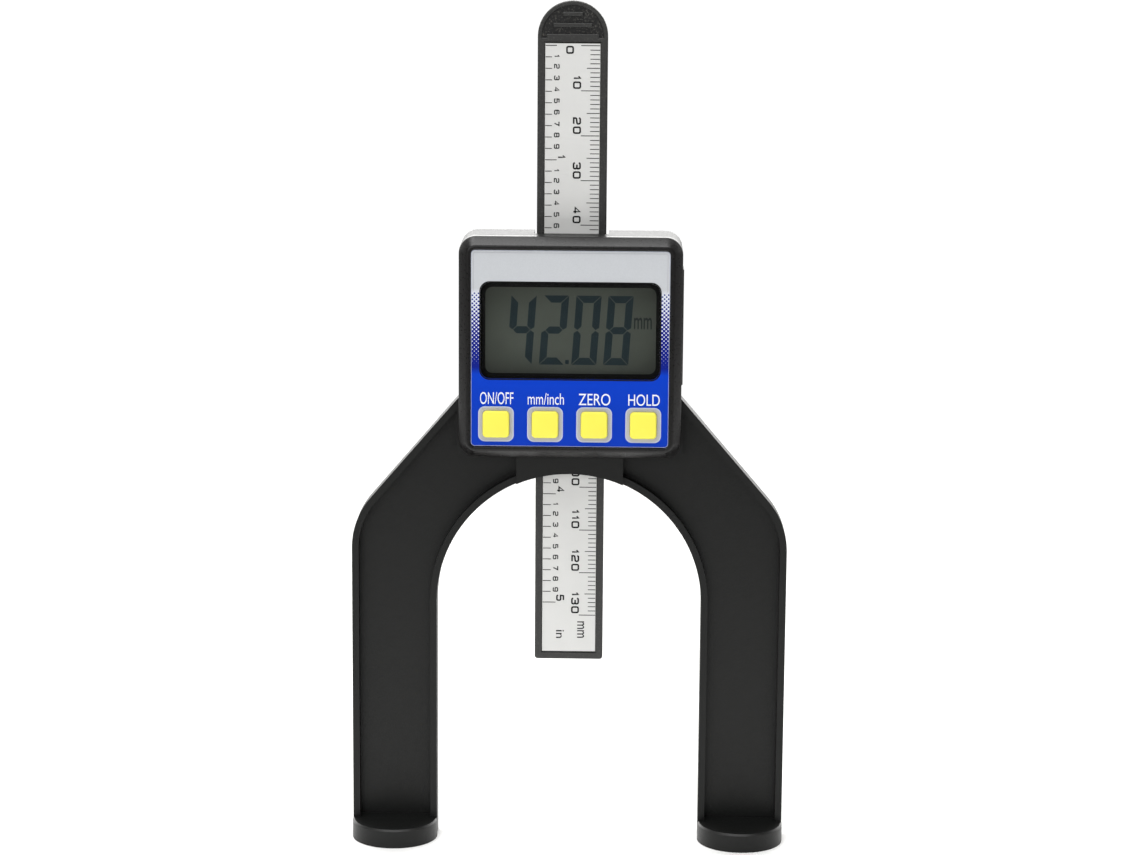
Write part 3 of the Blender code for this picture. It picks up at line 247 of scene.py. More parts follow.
# Strokes of square digits in a unit square, each a run of points. Loop and crown are the round ends.
LOOP = [(1, 0.2), (0.94, 0.06), (0.8, 0), (0.2, 0), (0.06, 0.06), (0, 0.2)]
CROWN = [(0, 0.8), (0.06, 0.94), (0.2, 1), (0.8, 1), (0.94, 0.94), (1, 0.8)]
DIGITS = {
    "0": [LOOP + CROWN + LOOP[:1]],
    "1": [[(0.58, 0.7), (0.9, 1), (0.9, 0)]],
    "2": [CROWN + [(1, 0.66), (0.93, 0.54), (0.8, 0.49), (0.2, 0.44), (0.06, 0.38), (0, 0.26), (0, 0),
                   (1, 0)]],
    "3": [CROWN + [(1, 0.64), (0.93, 0.54), (0.8, 0.51), (0.3, 0.51)],
          [(0.8, 0.51), (0.94, 0.46), (1, 0.34)] + LOOP],
    "4": [[(0.72, 0), (0.72, 1), (0, 0.28), (1, 0.28)]],
    "5": [[(0.95, 1), (0.08, 1), (0.04, 0.56), (0.78, 0.58), (0.94, 0.52), (1, 0.38)] + LOOP],
    "6": [[(0.97, 0.84), (0.9, 0.96), (0.8, 1), (0.2, 1), (0.06, 0.94), (0, 0.8)] + LOOP[::-1]
          + [(1, 0.38), (0.94, 0.52), (0.8, 0.57), (0, 0.57)]],
    "7": [[(0, 1), (1, 1), (0.4, 0)]],
    "8": [LOOP + [(0, 0.36), (0.06, 0.48), (0.2, 0.52), (0.8, 0.52), (0.94, 0.48), (1, 0.36)] + LOOP[:1],
          [(0.2, 0.52), (0.05, 0.58), (0.02, 0.7)] + CROWN[1:5] + [(0.98, 0.7), (0.95, 0.58), (0.8, 0.52)]],
    "9": [[(0.03, 0.16), (0.1, 0.04), (0.2, 0), (0.8, 0), (0.94, 0.06), (1, 0.2)] + CROWN[::-1]
          + [(0, 0.62), (0.06, 0.48), (0.2, 0.43), (1, 0.43)]],
}


def ribbon(points, thick, depth):
    """Flat line of one thickness along a run of points: each is moved both ways along its mitre."""
    path = np.array(points, dtype=float)
    shut = np.allclose(path[0], path[-1])
    edge = np.diff(path, axis=0)
    edge = edge / np.linalg.norm(edge, axis=1, keepdims=True)
    side = np.stack([-edge[:, 1], edge[:, 0]], axis=1)
    before = np.vstack([side[-1:] if shut else side[:1], side])
    after = np.vstack([side, side[:1] if shut else side[-1:]])
    mitre = (before + after) / np.maximum(0.5, 1 + np.sum(before * after, axis=1, keepdims=True))
    both = np.concatenate([path + mitre * thick / 2, path - mitre * thick / 2])
    count = len(path)
    start = np.arange(count - 1)
    faces = np.stack([start, start + 1, start + 1 + count, start + count], axis=1).tolist()
    return np.insert(both, 1, depth, axis=1), faces


def numerals(number, x_low, z_low, size, depth):
    """Square digits of a size (wide, tall, thick), tops to the right, the last one at a height."""
    wide, tall, thick = size
    narrow, space = 0.6 * wide, 0.22 * tall
    runs = []
    for digit in reversed(str(number)):
        for stroke in DIGITS[digit]:
            unit = np.array(stroke, dtype=float)
            x = x_low + thick / 2 + unit[:, 1] * (tall - thick)
            z = z_low + thick / 2 + (1 - unit[:, 0]) * (wide - thick)
            runs.append(ribbon(np.stack([x, z], axis=1), thick, depth))
        z_low += (narrow if digit == "1" else wide) + space
    return runs


def together(surfaces):
    """Put surfaces into one list of corners and one of faces."""
    corners, faces, count = [], [], 0
    for points, sides in surfaces:
        corners.append(points)
        faces += [[corner + count for corner in side] for side in sides]
        count += len(points)
    return np.concatenate(corners), faces


# Pieces

def sharpen(work, angle=30):
    """Shade a mesh smooth, but keep the edges that turn more than an angle."""
    for face in work.faces:
        face.smooth = True
    for edge in work.edges:
        edge.smooth = len(edge.link_faces) == 2 and edge.calc_face_angle(0) < math.radians(angle)


def add_piece(name, surfaces, skin, body, replaces=(), closed=True):
    """Make a piece of surfaces, its place in its mesh, and let it ride on a body."""
    corners, faces = together(surfaces)
    corners = (corners + (0, SHIFT, 0)) * MM
    mesh = bpy.data.meshes.new(name)
    mesh.from_pydata(corners.tolist(), [], faces)
    work = bmesh.new()
    work.from_mesh(mesh)
    bmesh.ops.remove_doubles(work, verts=work.verts, dist=0.002 * MM)
    if closed:
        bmesh.ops.recalc_face_normals(work, faces=work.faces)
    else:
        for face in work.faces:
            face.normal_update()
            if face.normal.y > 0:
                face.normal_flip()
    sharpen(work)
    work.to_mesh(mesh)
    work.free()
    return settle(name, mesh, skin, body, replaces)


def settle(name, mesh, skin, body, replaces):
    """Put a mesh into the scene as a piece with its material, its body and the nodes it stands for."""
    made = bpy.data.objects.new(name, mesh)
    bpy.context.scene.collection.objects.link(made)
    mesh.materials.clear()
    mesh.materials.append(skin)
    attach(made, body)
    if replaces:
        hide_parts(*replaces)
    return made


def rounded_copy(node, skin, body, width, segments=2):
    """Copy of a CAD moulding, its loose triangles merged and its edges rounded."""
    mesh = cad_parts[node].data.copy()
    work = bmesh.new()
    work.from_mesh(mesh)
    bmesh.ops.remove_doubles(work, verts=work.verts, dist=0.001 * MM)
    bmesh.ops.dissolve_limit(work, angle_limit=math.radians(0.6), verts=work.verts, edges=work.edges)
    sharpen(work)
    work.to_mesh(mesh)
    work.free()
    made = settle(node + "_moulding", mesh, skin, body, [node])
    bevel = made.modifiers.new("edge_rounding", "BEVEL")
    bevel.width = width
    bevel.segments = segments
    bevel.limit_method = "ANGLE"
    bevel.angle_limit = math.radians(32)
    bevel.use_clamp_overlap = True
    bevel.harden_normals = True
    return made


# Materials

def add_node(tree, kind, settings=None, values=None, links=None):
    """Add a node with its settings, its socket values and the sockets that feed it."""
    node = tree.nodes.new(kind)
    for key, value in (settings or {}).items():
        setattr(node, key, value)
    for key, value in (values or {}).items():
        node.inputs[key].default_value = value
    for key, socket in (links or {}).items():
        tree.links.new(socket, node.inputs[key])
    return node


def start_material(name, values):
    """Start a material, and return it with its tree, its shader and its object coordinates."""
    made = bpy.data.materials.new(name)
    made.use_nodes = True
    tree = made.node_tree
    shader = tree.nodes["Principled BSDF"]
    for key, value in values.items():
        shader.inputs[key].default_value = value
    place = add_node(tree, "ShaderNodeTexCoord").outputs["Object"]
    return made, tree, shader, place


def ramp(tree, value, start, end, low=0.0, high=1.0, smooth=False):
    """Map a value that goes from start to end onto low to high, straight or as an S curve."""
    kind = {"interpolation_type": "SMOOTHSTEP"} if smooth else {}
    ends = {"From Min": start, "From Max": end, "To Min": low, "To Max": high}
    return add_node(tree, "ShaderNodeMapRange", kind, ends, {"Value": value}).outputs["Result"]


def blend(tree, share, first, second):
    """Mix two colours by a share. Each is a tone or a socket."""
    values, links = {}, {0: share}
    for place, side in ((6, first), (7, second)):
        if isinstance(side, bpy.types.NodeSocket):
            links[place] = side
        else:
            values[place] = (*side, 1)
    return add_node(tree, "ShaderNodeMix", {"data_type": "RGBA"}, values, links).outputs[2]


def combine(tree, operation, first, second):
    """Join two sockets by an operation."""
    return add_node(tree, "ShaderNodeMath", {"operation": operation}, {}, {0: first, 1: second}).outputs[0]


def noise(tree, place, period, detail):
    """Noise of a period in millimetres."""
    values = {"Scale": 1 / (period * MM), "Detail": detail}
    return add_node(tree, "ShaderNodeTexNoise", {}, values, {"Vector": place}).outputs["Fac"]


def relieve(tree, shader, height, strength, distance):
    """Give a shader the relief of a height, a distance in millimetres deep."""
    sizes = {"Strength": strength, "Distance": distance * MM}
    bump = add_node(tree, "ShaderNodeBump", {}, sizes, {"Height": height})
    tree.links.new(bump.outputs["Normal"], shader.inputs["Normal"])


def scaled(tone, share):
    """A tone made darker or lighter, no part above 1."""
    return [min(1, part * share) for part in tone]


# Slow drift of a tone, in millimetres, and the parts of the grain that turn pale or change the gloss
CLOUD_PERIOD = 9.0
FLECK_RANGE, GLOSS_RANGE = (0.54, 0.7), (0.3, 0.7)
FLECK_TONE = "#b9b5ac"
RELIEF_STRENGTH = 0.6


def grained(name, tone, roughness, grain, values=None, drift=0.14, relief=0.012, spread=0.12, fleck=0):
    """Surface whose tone and gloss drift, with a fine relief of a grain given in millimetres.

    A fleck above 0 makes the grain's peaks that much paler, as rubbed glass fibres are.
    """
    made, tree, shader, place = start_material(name, values or {})
    cloud = noise(tree, place, CLOUD_PERIOD, 4.0)
    grit = noise(tree, place, grain, 3.0)
    colour_out = blend(tree, cloud, scaled(tone, 1 - drift), scaled(tone, 1 + drift))
    if fleck:
        colour_out = blend(tree, ramp(tree, grit, *FLECK_RANGE, 0, fleck), colour_out, srgb(FLECK_TONE))
    tree.links.new(colour_out, shader.inputs["Base Color"])
    gloss = ramp(tree, grit, *GLOSS_RANGE, roughness - spread / 2, roughness + spread / 2)
    tree.links.new(gloss, shader.inputs["Roughness"])
    relieve(tree, shader, grit, RELIEF_STRENGTH, relief)
    return made


# Heights between which the face film changes, and the limits that its dots pass at the ends of theirs
DOTS_RANGE, DOTS_LIMIT, DOTS_END = (110.9, 128.4), (-1.1, 0.36), (128.2, 128.6)
NAVY_RANGE, PAPER_RANGE, SHADE_RANGE = (109.8, 111.4), (127.6, 129.2), (97.0, 109.0)
# Half the softness of a dot's edge, and how much navy the blue takes on at the keys
DOT_EDGE, NAVY_SHARE = 0.05, 0.24
PAPER_TONE = "#e2e6f0"


def face_film(sizes, colours):
    """Polycarbonate face film, printed from the back: silver above, blue below, dots that grow between them.

    Seen from the front it has a soft sheen over flat ink. The dots are where sin(kx) sin(kz) passes a
    limit that falls with height, and they are drawn as coarse as the render needs.
    """
    made, tree, shader, place = start_material("printed_polycarbonate", {
        "Roughness": 0.32, "Specular IOR Level": 0.14, "IOR": 1.58,
    })
    axes = add_node(tree, "ShaderNodeSeparateXYZ", {}, {}, {0: place})
    height = axes.outputs["Z"]

    def across(heights, low=0.0, high=1.0, falling=False):
        """Change from low to high between two heights, or back from the upper one down."""
        start, end = [edge * MM for edge in (reversed(heights) if falling else heights)]
        return ramp(tree, height, start, end, low, high)

    wave = 2 * math.pi / sizes.halftone
    sines = []
    for side in ("X", "Z"):
        turn = add_node(tree, "ShaderNodeMath", {"operation": "MULTIPLY"}, {1: wave}, {0: axes.outputs[side]})
        sines.append(add_node(tree, "ShaderNodeMath", {"operation": "SINE"}, {}, {0: turn.outputs[0]}))
    dots = combine(tree, "MULTIPLY", sines[0].outputs[0], sines[1].outputs[0])
    past = combine(tree, "SUBTRACT", dots, across(DOTS_RANGE, *DOTS_LIMIT))
    ink = ramp(tree, combine(tree, "SUBTRACT", past, across(DOTS_END)), -DOT_EDGE, DOT_EDGE)
    foil = noise(tree, place, 0.35, 2.0)
    grain = blend(tree, foil, scaled(colours.silver, 0.95), scaled(colours.silver, 1.05))
    silver = blend(tree, across(PAPER_RANGE, falling=True), grain, srgb(PAPER_TONE))
    solid = blend(tree, across(SHADE_RANGE, 0, NAVY_SHARE, falling=True), colours.blue, colours.navy)
    blue = blend(tree, across(NAVY_RANGE), solid, colours.navy)
    tree.links.new(blend(tree, ink, silver, blue), shader.inputs["Base Color"])
    relieve(tree, shader, foil, 0.25, 0.004)
    return made


def display_glass(colours):
    """Reflective liquid crystal glass: olive grey with a trace of mottle, and painted shade that darkens it
    towards its frame.
    """
    made, tree, shader, place = start_material("liquid_crystal_glass", {
        "Roughness": 0.45, "Specular IOR Level": 0.2, "IOR": 1.52,
    })
    centred = add_node(tree, "ShaderNodeMapping", {"vector_type": "POINT"}, {
        "Location": (0, 0, -WINDOW_MIDDLE[1] / WINDOW_HALF_Z),
        "Scale": (1 / (WINDOW_HALF_X * MM), 0, 1 / (WINDOW_HALF_Z * MM)),
    }, {"Vector": place})
    reach = add_node(tree, "ShaderNodeVectorMath", {"operation": "LENGTH"}, {}, {0: centred.outputs[0]})
    # From a little over half way to the window's edge the glass darkens by up to a half: painted shade of the
    # window's recessed walls
    shade = ramp(tree, reach.outputs["Value"], 0.55, 1.35, 0.0, 0.5, smooth=True)
    cloud = noise(tree, place, 6.0, 3.0)
    tone = blend(tree, cloud, scaled(colours.display, 0.9), scaled(colours.display, 1.1))
    # Painted shade: the glass turns towards a dark olive at its frame
    tree.links.new(blend(tree, shade, tone, srgb("#23261f")), shader.inputs["Base Color"])
    return made


def brushed(name, tone, roughness, pitch):
    """Metal drawn in one direction: streaks across Z, a pitch in millimetres apart."""
    made, tree, shader, place = start_material(name, {"Metallic": 1.0})
    drawn = add_node(tree, "ShaderNodeMapping", {}, {"Scale": (0.08, 0.08, 1)}, {"Vector": place})
    streak = noise(tree, drawn.outputs[0], pitch, 3.0)
    tree.links.new(blend(tree, streak, scaled(tone, 0.8), scaled(tone, 1.15)), shader.inputs["Base Color"])
    gloss = ramp(tree, streak, 0, 1, roughness - 0.08, roughness + 0.1)
    tree.links.new(gloss, shader.inputs["Roughness"])
    return made


SKINS = {}


def mix_materials(sizes, colours):
    """Mix every finish of the gauge."""
    specular = "Specular IOR Level"
    SKINS.update({
        # Spark-eroded black ABS: nearly matt, with a haze of light from its fine grain
        "case": grained("moulded_black_abs", colours.case, 0.42, 0.3, {specular: 0.3}, relief=0.04),
        # Finer black ABS of the cover: satin, so its chamfers catch the softbox
        "cover": grained("satin_black_abs", colours.cover, 0.32, 0.4, {specular: 0.38}, relief=0.035),
        # Glass-filled nylon of the beam: grey-black, its grain coarse enough to glint
        "beam": grained("glass_filled_nylon", colours.slide, 0.4, 0.4, {specular: 0.5}, 0.24, 0.09, 0.2,
                        0.05),
        # Painted shade in the hollow of the grip: the beam's nylon made darker, with paler flecks of grain
        # than the rest of the beam
        "grip_shade": grained("coarse_nylon_painted_shade", srgb("#191919"), 0.45, 0.4, {specular: 0.35}, 0.5, 0.1,
                               0.3, 0.15),
        # Yellow ABS of the keys: a soft gloss, its tone nearly even
        "key": grained("glossy_yellow_abs", colours.key, 0.36, 0.4, {specular: 0.35}, 0.02, 0.003),
        "face": face_film(sizes, colours),
        # Matt white polyester film of the scale, with paper-like grain
        "scale": grained("matt_white_polyester", colours.scale_film, 0.6, 0.25, {specular: 0.25}, 0.05,
                         0.012),
        # Screen inks: flat and matt, their edges crisp on the films
        "ring": grained("grey_screen_ink", colours.ring, 0.5, 0.2, {}, 0.04, 0.004),
        # The pale ink also draws the painted highlight along the face film's edge
        "ring_edge": grained("pale_screen_ink", colours.ring_edge, 0.5, 0.2, {}, 0.03, 0.004),
        "white_ink": grained("white_screen_ink", colours.white_ink, 0.5, 0.2, {}, 0.02, 0.004),
        "black_ink": grained("black_screen_ink", colours.black_ink, 0.55, 0.12, {specular: 0.3}, 0.3, 0.004),
        "display": display_glass(colours),
        # Dark liquid crystal: flat blue-black where a segment is on, browner in the unit sign
        "segment": grained("liquid_crystal_segment", colours.segment, 0.4, 0.5, {specular: 0.2}, 0.1, 0.0),
        "unit_sign": grained("liquid_crystal_sign", srgb("#242b2a"), 0.4, 0.5, {specular: 0.2}, 0.08, 0.0),
        # Mask ink round the glass: dull black that hides the display's edge, and round the display also
        # painted shadow of the window's walls
        "mask": grained("black_mask_ink", srgb("#0c0c0c"), 0.6, 0.3, {specular: 0.15}),
        # Clear acrylic lens: only its gloss shows
        "lens": grained("clear_acrylic", srgb("#060706"), 0.05, 2.0, {"Alpha": 0.05}, 0.02, 0.0, 0.04),
        # Black ABS of the knob: a little paler than the case, so its flutes read
        "knob": grained("ribbed_black_abs", srgb("#1a1a1b"), 0.45, 0.2, {specular: 0.4}),
        # Metals with drawn streaks: zinc on screws, nickel on magnet and cell, nickel silver in the springs
        "screw": brushed("zinc_plated_steel", srgb("#8d8e8c"), 0.36, 0.12),
        "magnet": brushed("nickel_plated_magnet", srgb("#b9b6ae"), 0.28, 0.2),
        "spring": brushed("sprung_nickel_silver", srgb("#b3ac9c"), 0.3, 0.15),
        "cell": brushed("nickel_plated_can", srgb("#c4c4c2"), 0.25, 0.1),
        # Inside the head: milky nylon, laminates, gilt copper, potting resin, drawn can and silicone
        "pad": grained("moulded_nylon", srgb("#c9c6bb"), 0.5, 0.3, {}),
        "board": grained("green_glass_laminate", srgb("#17502c"), 0.38, 0.5, {}, 0.2, 0.01),
        "strip": grained("masked_strip_laminate", srgb("#12140f"), 0.4, 0.4, {}, 0.2, 0.008),
        "field": brushed("gilt_copper", srgb("#c9973c"), 0.3, 0.2),
        "epoxy": grained("black_potting_epoxy", srgb("#0f0f10"), 0.2, 1.2, {}, 0.1, 0.05),
        "crystal": brushed("drawn_crystal_can", srgb("#bfc0c2"), 0.22, 0.1),
        "zebra": grained("layered_silicone", srgb("#3c3c40"), 0.7, 0.1, {}, 0.5, 0.01),
    })


# Pieces of the gauge

def make_case(sizes):
    """Arched stand with the case of the head, and the back plate: one rounded copy of each moulding."""
    rounded_copy("arch_frame", SKINS["case"], "stand", sizes.edge_round)
    rounded_copy("back_plate", SKINS["case"], "stand", sizes.trim_round)


def key_hole(place, clearance):
    """Path of a key's opening."""
    half = KEY_HALF + clearance
    return rounded_path(half, half, KEY_CORNER + clearance, place)


def window_path(gap, corner_gap, sides=6):
    """Path round the window at a gap, its corner grown by another."""
    corner = WINDOW_CORNER + corner_gap
    return rounded_path(WINDOW_HALF_X + gap, WINDOW_HALF_Z + gap, corner, WINDOW_MIDDLE, sides)


def make_cover():
    """Front cover: one profile carried round its square, two flat faces and the walls of its openings."""
    corner, corner_sides = 3.8, 10
    outline = rounded_path(HEAD_HALF, HEAD_HALF, corner, (0, HEAD_MIDDLE), corner_sides)
    front = COVER_LOW[1] - SHIFT
    bed, inside, back = front + 0.55, front + 1.75, front + 4.55
    wall, lip, window_gap, key_gap = 2.1, 2.75, 0.1, 0.2
    # From the inside of the wall round its back, up the side, over the chamfer and down to the label's bed
    rows = [
        (wall, inside), (wall, back), (0.15, back), (0.04, back - 0.04), (0, back - 0.15),
        (0, front + 2.46), (0.03, front + 2.34), (0.12, front + 2.18), (1.64, front + 0.2),
        (1.76, front + 0.08), (1.94, front), (lip - 0.2, front), (lip - 0.06, front + 0.06),
        (lip, front + 0.2), (lip, bed),
    ]
    holes = [window_path(window_gap, 0)] + [key_hole(place, key_gap) for place in KEY_PLACES]
    surfaces = [
        carried(outline, rows), flat([inset_path(outline, lip)] + holes, bed),
        flat([inset_path(outline, wall)] + holes, inside),
    ]
    surfaces += [carried(hole, [(0, bed), (0, inside)]) for hole in holes]
    add_piece("cover_moulding", surfaces, SKINS["cover"], "stand", ["front_cover"])


def make_keys(sizes):
    """Keys: a skirted square cap with a domed front, crown times s squared deep at a share s to its rim."""
    skirt, flange, edge, steps, corner_sides = 2.0, 0.4, 0.27, 6, 8
    flange_front, flange_back = 2.2, 3.0
    crown = sizes.key_crown / MM
    for node, place in zip(KEY_NODES, KEY_PLACES):
        low, high = cad_box(node)
        front, back = low[1] - SHIFT, high[1] - SHIFT
        path = rounded_path(KEY_HALF, KEY_HALF, KEY_CORNER, place, corner_sides)
        # From the back up the inside of the skirt, round the flange, up the side and over the edge
        rows = [
            (skirt, back), (skirt, front + flange_back), (-flange, front + flange_back),
            (-flange, front + flange_front), (0, front + flange_front), (0, front + 0.62),
            (0.03, front + 0.45), (0.12, front + 0.3), (edge, front + crown + 0.06), (edge, front + crown),
        ]
        rim = inset_path(path, edge)
        shares = np.linspace(1, 0, steps + 1)[:-1]
        rings = [
            np.insert(place + (rim - place) * share, 1, front + crown * share ** 2, axis=1)
            for share in shares
        ]
        dome = np.vstack(rings + [[place[0], front, place[1]]])
        faces = ring_faces(len(rings), len(path))
        last = len(dome) - 1 - len(path) + np.arange(len(path))
        faces += np.stack([last, np.roll(last, -1), np.full(len(path), len(dome) - 1)], axis=1).tolist()
        surfaces = [carried(path, rows), (dome, faces), flat([inset_path(path, skirt)], back)]
        add_piece(node + "_cap", surfaces, SKINS["key"], node, [node])


# Legends over the keys: text, left and right edge, lower and upper edge
LEGENDS = (
    ("ON/OFF", (-20.1, -12.6), (103.0, 105.75)), ("mm/inch", (-9.4, -1.3), (103.0, 105.65)),
    ("ZERO", (2.0, 9.1), (102.95, 105.6)), ("HOLD", (13.1, 20.15), (102.95, 105.55)),
)


def make_label(sizes):
    """Face label: the film, the rings round its keys, its legends, the pale lines round the rings, a pale
    painted highlight along the film's edge and a grey line of painted shade for its groove.
    """
    dress("face_label", "face")
    ink = LABEL_DEPTH - sizes.print_lift / MM

    def add_print(name, surfaces, skin):
        """Add a print that lies on the label."""
        add_piece(name, surfaces, SKINS[skin], "stand", closed=False)

    corner, corner_sides, edge_highlight, key_gap, window_line = 0.9, 8, (0.04, 0.12), 0.06, 0.28
    groove_inset, groove_thick, groove_low = 0.55, 0.1, 128.6
    squares = [rounded_path(RING_HALF, RING_HALF, RING_CORNER, place, corner_sides) for place in KEY_PLACES]
    outline = rounded_path(LABEL_HIGH[0], LABEL_HIGH[0], corner, (0, HEAD_MIDDLE), corner_sides)
    window = window_path(window_line, window_line, 10)
    add_print("key_rings", [
        flat([inset_path(square, RING_LINE), key_hole(place, key_gap)], ink)
        for square, place in zip(squares, KEY_PLACES)
    ], "ring")
    # Pale ink lines round the rings, and along the film's edge a pale line that is a painted highlight of its
    # cut edge
    pale = [band(square, 0, RING_LINE, ink) for square in squares] + [band(outline, *edge_highlight, ink)]
    add_print("ring_lines_and_edge_highlight", pale, "ring_edge")
    # A flat grey line of painted shade stands for the groove; it runs round the label's two upper corners and
    # ends where the dots begin
    arch = inset_path(outline, groove_inset)[:2 * (corner_sides + 1)]
    arch = np.vstack([(arch[0, 0], groove_low), arch, (arch[-1, 0], groove_low)])
    add_print("label_groove_shade", [ribbon(arch, groove_thick, ink)], "ring")
    add_print("window_line", [band(window, 0, window_line, ink)], "mask")
    add_print("key_legends", [lettering(text, across, up, ink) for text, across, up in LEGENDS], "white_ink")


def segment_paths(wide, tall, thick):
    """Outlines of the seven segments a to g of a digit, mitred where they meet."""
    half = tall / 2
    top = np.array([(0, tall), (thick, tall - thick), (wide - thick, tall - thick), (wide, tall)])
    left = np.array([(0, tall), (0, half + thick / 3), (thick / 2, half), (thick, half + thick / 2),
                     (thick, tall - thick)])
    middle = np.array([
        (thick / 2, half), (thick, half - thick / 2), (wide - thick, half - thick / 2),
        (wide - thick / 2, half), (wide - thick, half + thick / 2), (thick, half + thick / 2),
    ])

    def across(path):
        """Mirror a path from left to right."""
        return (np.array((wide, 0)) + path * (-1, 1))[::-1]

    def over(path):
        """Mirror a path from top to bottom."""
        return (np.array((0, tall)) + path * (1, -1))[::-1]

    return {
        "a": top, "b": across(left), "c": across(over(left)), "d": over(top), "e": over(left), "f": left,
        "g": middle,
    }


# Digits of the display: left edge and the segments that are on
DISPLAY_DIGITS = ((-14.35, "fgbc"), (-7.1, "abged"), (0.15, "abcdef"), (7.3, "abcdefg"))
DISPLAY_POINT = ((-1.15, 111.8), (-0.35, 111.8), (-0.3, 112.75), (-1.1, 112.75))


def make_display(sizes):
    """Display: its glass, the black mask, drawn wide so that it is also painted shadow of the window's walls,
    four slanted digits with their point, and the unit sign.
    """
    dress("lcd_cell", "display")
    dress("lcd_window", "lens")
    cell_low, cell_high = cad_box("lcd_cell")
    ink = cell_low[1] - SHIFT - sizes.print_lift / MM

    def add_print(name, surfaces, skin):
        """Add a print that lies on the glass."""
        add_piece(name, surfaces, SKINS[skin], "stand", closed=False)

    wide, tall, thick, gap = 5.75, 15.8, 1.75, 0.07
    low, slope = 111.6, math.tan(sizes.slant)
    paths = segment_paths(wide, tall, thick)
    shapes = []
    for start, lit in DISPLAY_DIGITS:
        for name in lit:
            path = inset_path(paths[name], gap)
            shapes.append(np.stack([start + path[:, 0] + path[:, 1] * slope, low + path[:, 1]], axis=1))
    shapes.append(np.array(DISPLAY_POINT))
    add_print("display_digits", [flat([shape], ink) for shape in shapes], "segment")
    add_print("display_unit", [lettering("mm", (14.2, 18.2), (119.9, 122.5), ink, weight=0.01)], "unit_sign")
    margin, half_tall = 0.1, (cell_high[2] - cell_low[2]) / 2
    # The mask is partly the display's real black border and partly painted shadow of the window's recessed
    # walls, so its opening is drawn small
    opening = rounded_path(19.1, 9.75, 1.6, (0.05, 119.4), 8)
    rim = rounded_path(cell_high[0] - margin, half_tall - margin, 0.5, WINDOW_MIDDLE, 8)
    add_print("display_mask_and_shadow", [flat([rim, opening], ink)], "mask")


def lean(height):
    """How far right the print sits at a height: it was put on a fifth of a degree askew."""
    return 0.0035 * (SCALE_ZERO - height) - 0.08


def scale_lines(sizes, ink):
    """Lines of both scales: millimetres from the right edge of the film, tenths of an inch from the left."""
    thick = sizes.tick / MM / 2
    count = np.arange(SCALE_SPAN + 1)
    start = np.where(count % 10 == 0, TEN_START, np.where(count % 5 == 0, FIVE_START, UNIT_START))
    height = SCALE_ZERO - count
    tenths = np.arange(SCALE_TENTHS + 1)
    end = np.where(tenths % 10 == 0, INCH_END, TENTH_END)
    inches = SCALE_ZERO - tenths * INCH / 10
    return [
        strips(start + lean(height), LINE_END, height - thick, height + thick, ink),
        strips(-LINE_END, end + lean(inches), inches - thick, inches + thick, ink),
    ]


def scale_numerals(ink):
    """Numerals of both scales and their two unit signs."""
    prints = [
        lettering("in", (-2.9, -1.1), (47.0, 48.9), ink, True, 0.004),
        lettering("mm", (1.95, 3.55), (47.1, 51.0), ink, True, 0.004),
    ]

    def add_number(number, line, kind):
        """Add a number beside a line, moved right by how far the print leans there."""
        start, rise, size = kind
        prints.extend(numerals(number, start + lean(line), line + rise, size, ink))

    add_number(0, SCALE_ZERO, ZERO_DIGIT)
    for number in range(10, SCALE_SPAN + 1, 10):
        add_number(number, SCALE_ZERO - number, TENS_DIGIT)
    for tenth in range(1, SCALE_TENTHS + 1):
        line = SCALE_ZERO - tenth * INCH / 10
        if tenth % 10:
            add_number(tenth % 10, line, TENTH_DIGIT)
        else:
            add_number(tenth // 10, line, INCH_DIGIT)
    return prints


def make_beam(sizes):
    """Sliding beam, its white scale film, the lines and numerals printed on it and a dark sheet of painted
    shade on the floor of its grip.
    """
    rounded_copy("beam", SKINS["beam"], "beam", sizes.edge_round, 3)
    dress("scale_label", "scale")
    dress("encoder_strip", "strip")
    lift = sizes.print_lift / MM
    ink = SCALE_DEPTH - lift
    prints = scale_lines(sizes, ink) + scale_numerals(ink)
    add_piece("scale_print", prints, SKINS["black_ink"], "beam", closed=False)
    # A dark sheet of painted shade on the grip's floor: a half circle inside the rim of the beam's round
    # head, and a strip under it
    grip_rim, grip_depth, grip_drop, arc_sides = 0.95, 0.5, 8.24, 24
    radius, middle = BEAM_HIGH[0] - grip_rim, BEAM_HIGH[2] - BEAM_HIGH[0]
    turn = np.linspace(0, math.pi, arc_sides + 1)
    field = np.stack([radius * np.cos(turn), middle + radius * np.sin(turn)], axis=1)
    low = BEAM_HIGH[2] - grip_drop
    field = np.vstack([field, (-radius, low), (radius, low)])
    add_piece("grip_field", [flat([field], BEAM_DEPTH + grip_depth - 2 * lift)], SKINS["grip_shade"], "beam",
              closed=False)


def make_lock(sizes):
    """Lock: a knob turned with flutes that run out at its edges, its stud and its pad."""
    front, back = KNOB_LOW[1] - SHIFT, KNOB_HIGH[1] - SHIFT
    radius = KNOB_HIGH[0]
    middle, sides = (0, HEAD_MIDDLE), sizes.flutes * 8
    hub_radius, pole = 1.7, 0.01
    # From the hub over the front edge, along the flutes, over the back edge and into the dish
    rows = [
        (hub_radius, front, 0), (radius - 0.6, front, 0), (radius - 0.3, front + 0.08, 0.3),
        (radius - 0.06, front + 0.35, 1), (radius, front + 0.6, 1), (radius, back - 0.7, 1),
        (radius - 0.08, back - 0.35, 1), (radius - 0.35, back - 0.08, 0.3), (radius - 0.7, back, 0),
        (radius - 1.6, back, 0), (radius - 1.9, back - 0.3, 0), (3.0, back - 0.45, 0), (pole, back - 0.5, 0),
    ]
    turned = lathe(rows, middle, sides, sizes.flutes, sizes.knob_flute / MM)
    hub = lathe([(hub_radius, front, 0), (pole, front + 0.02, 0)], middle, sides)
    add_piece("knob_turning", [turned, hub], SKINS["knob"], "lock_screw", ["lock_knob"])
    dress("lock_stud", "screw")
    dress("lock_pad", "pad")


def dress(node, skin):
    """Give a CAD node its finish."""
    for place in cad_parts[node].material_slots:
        place.material = SKINS[skin]


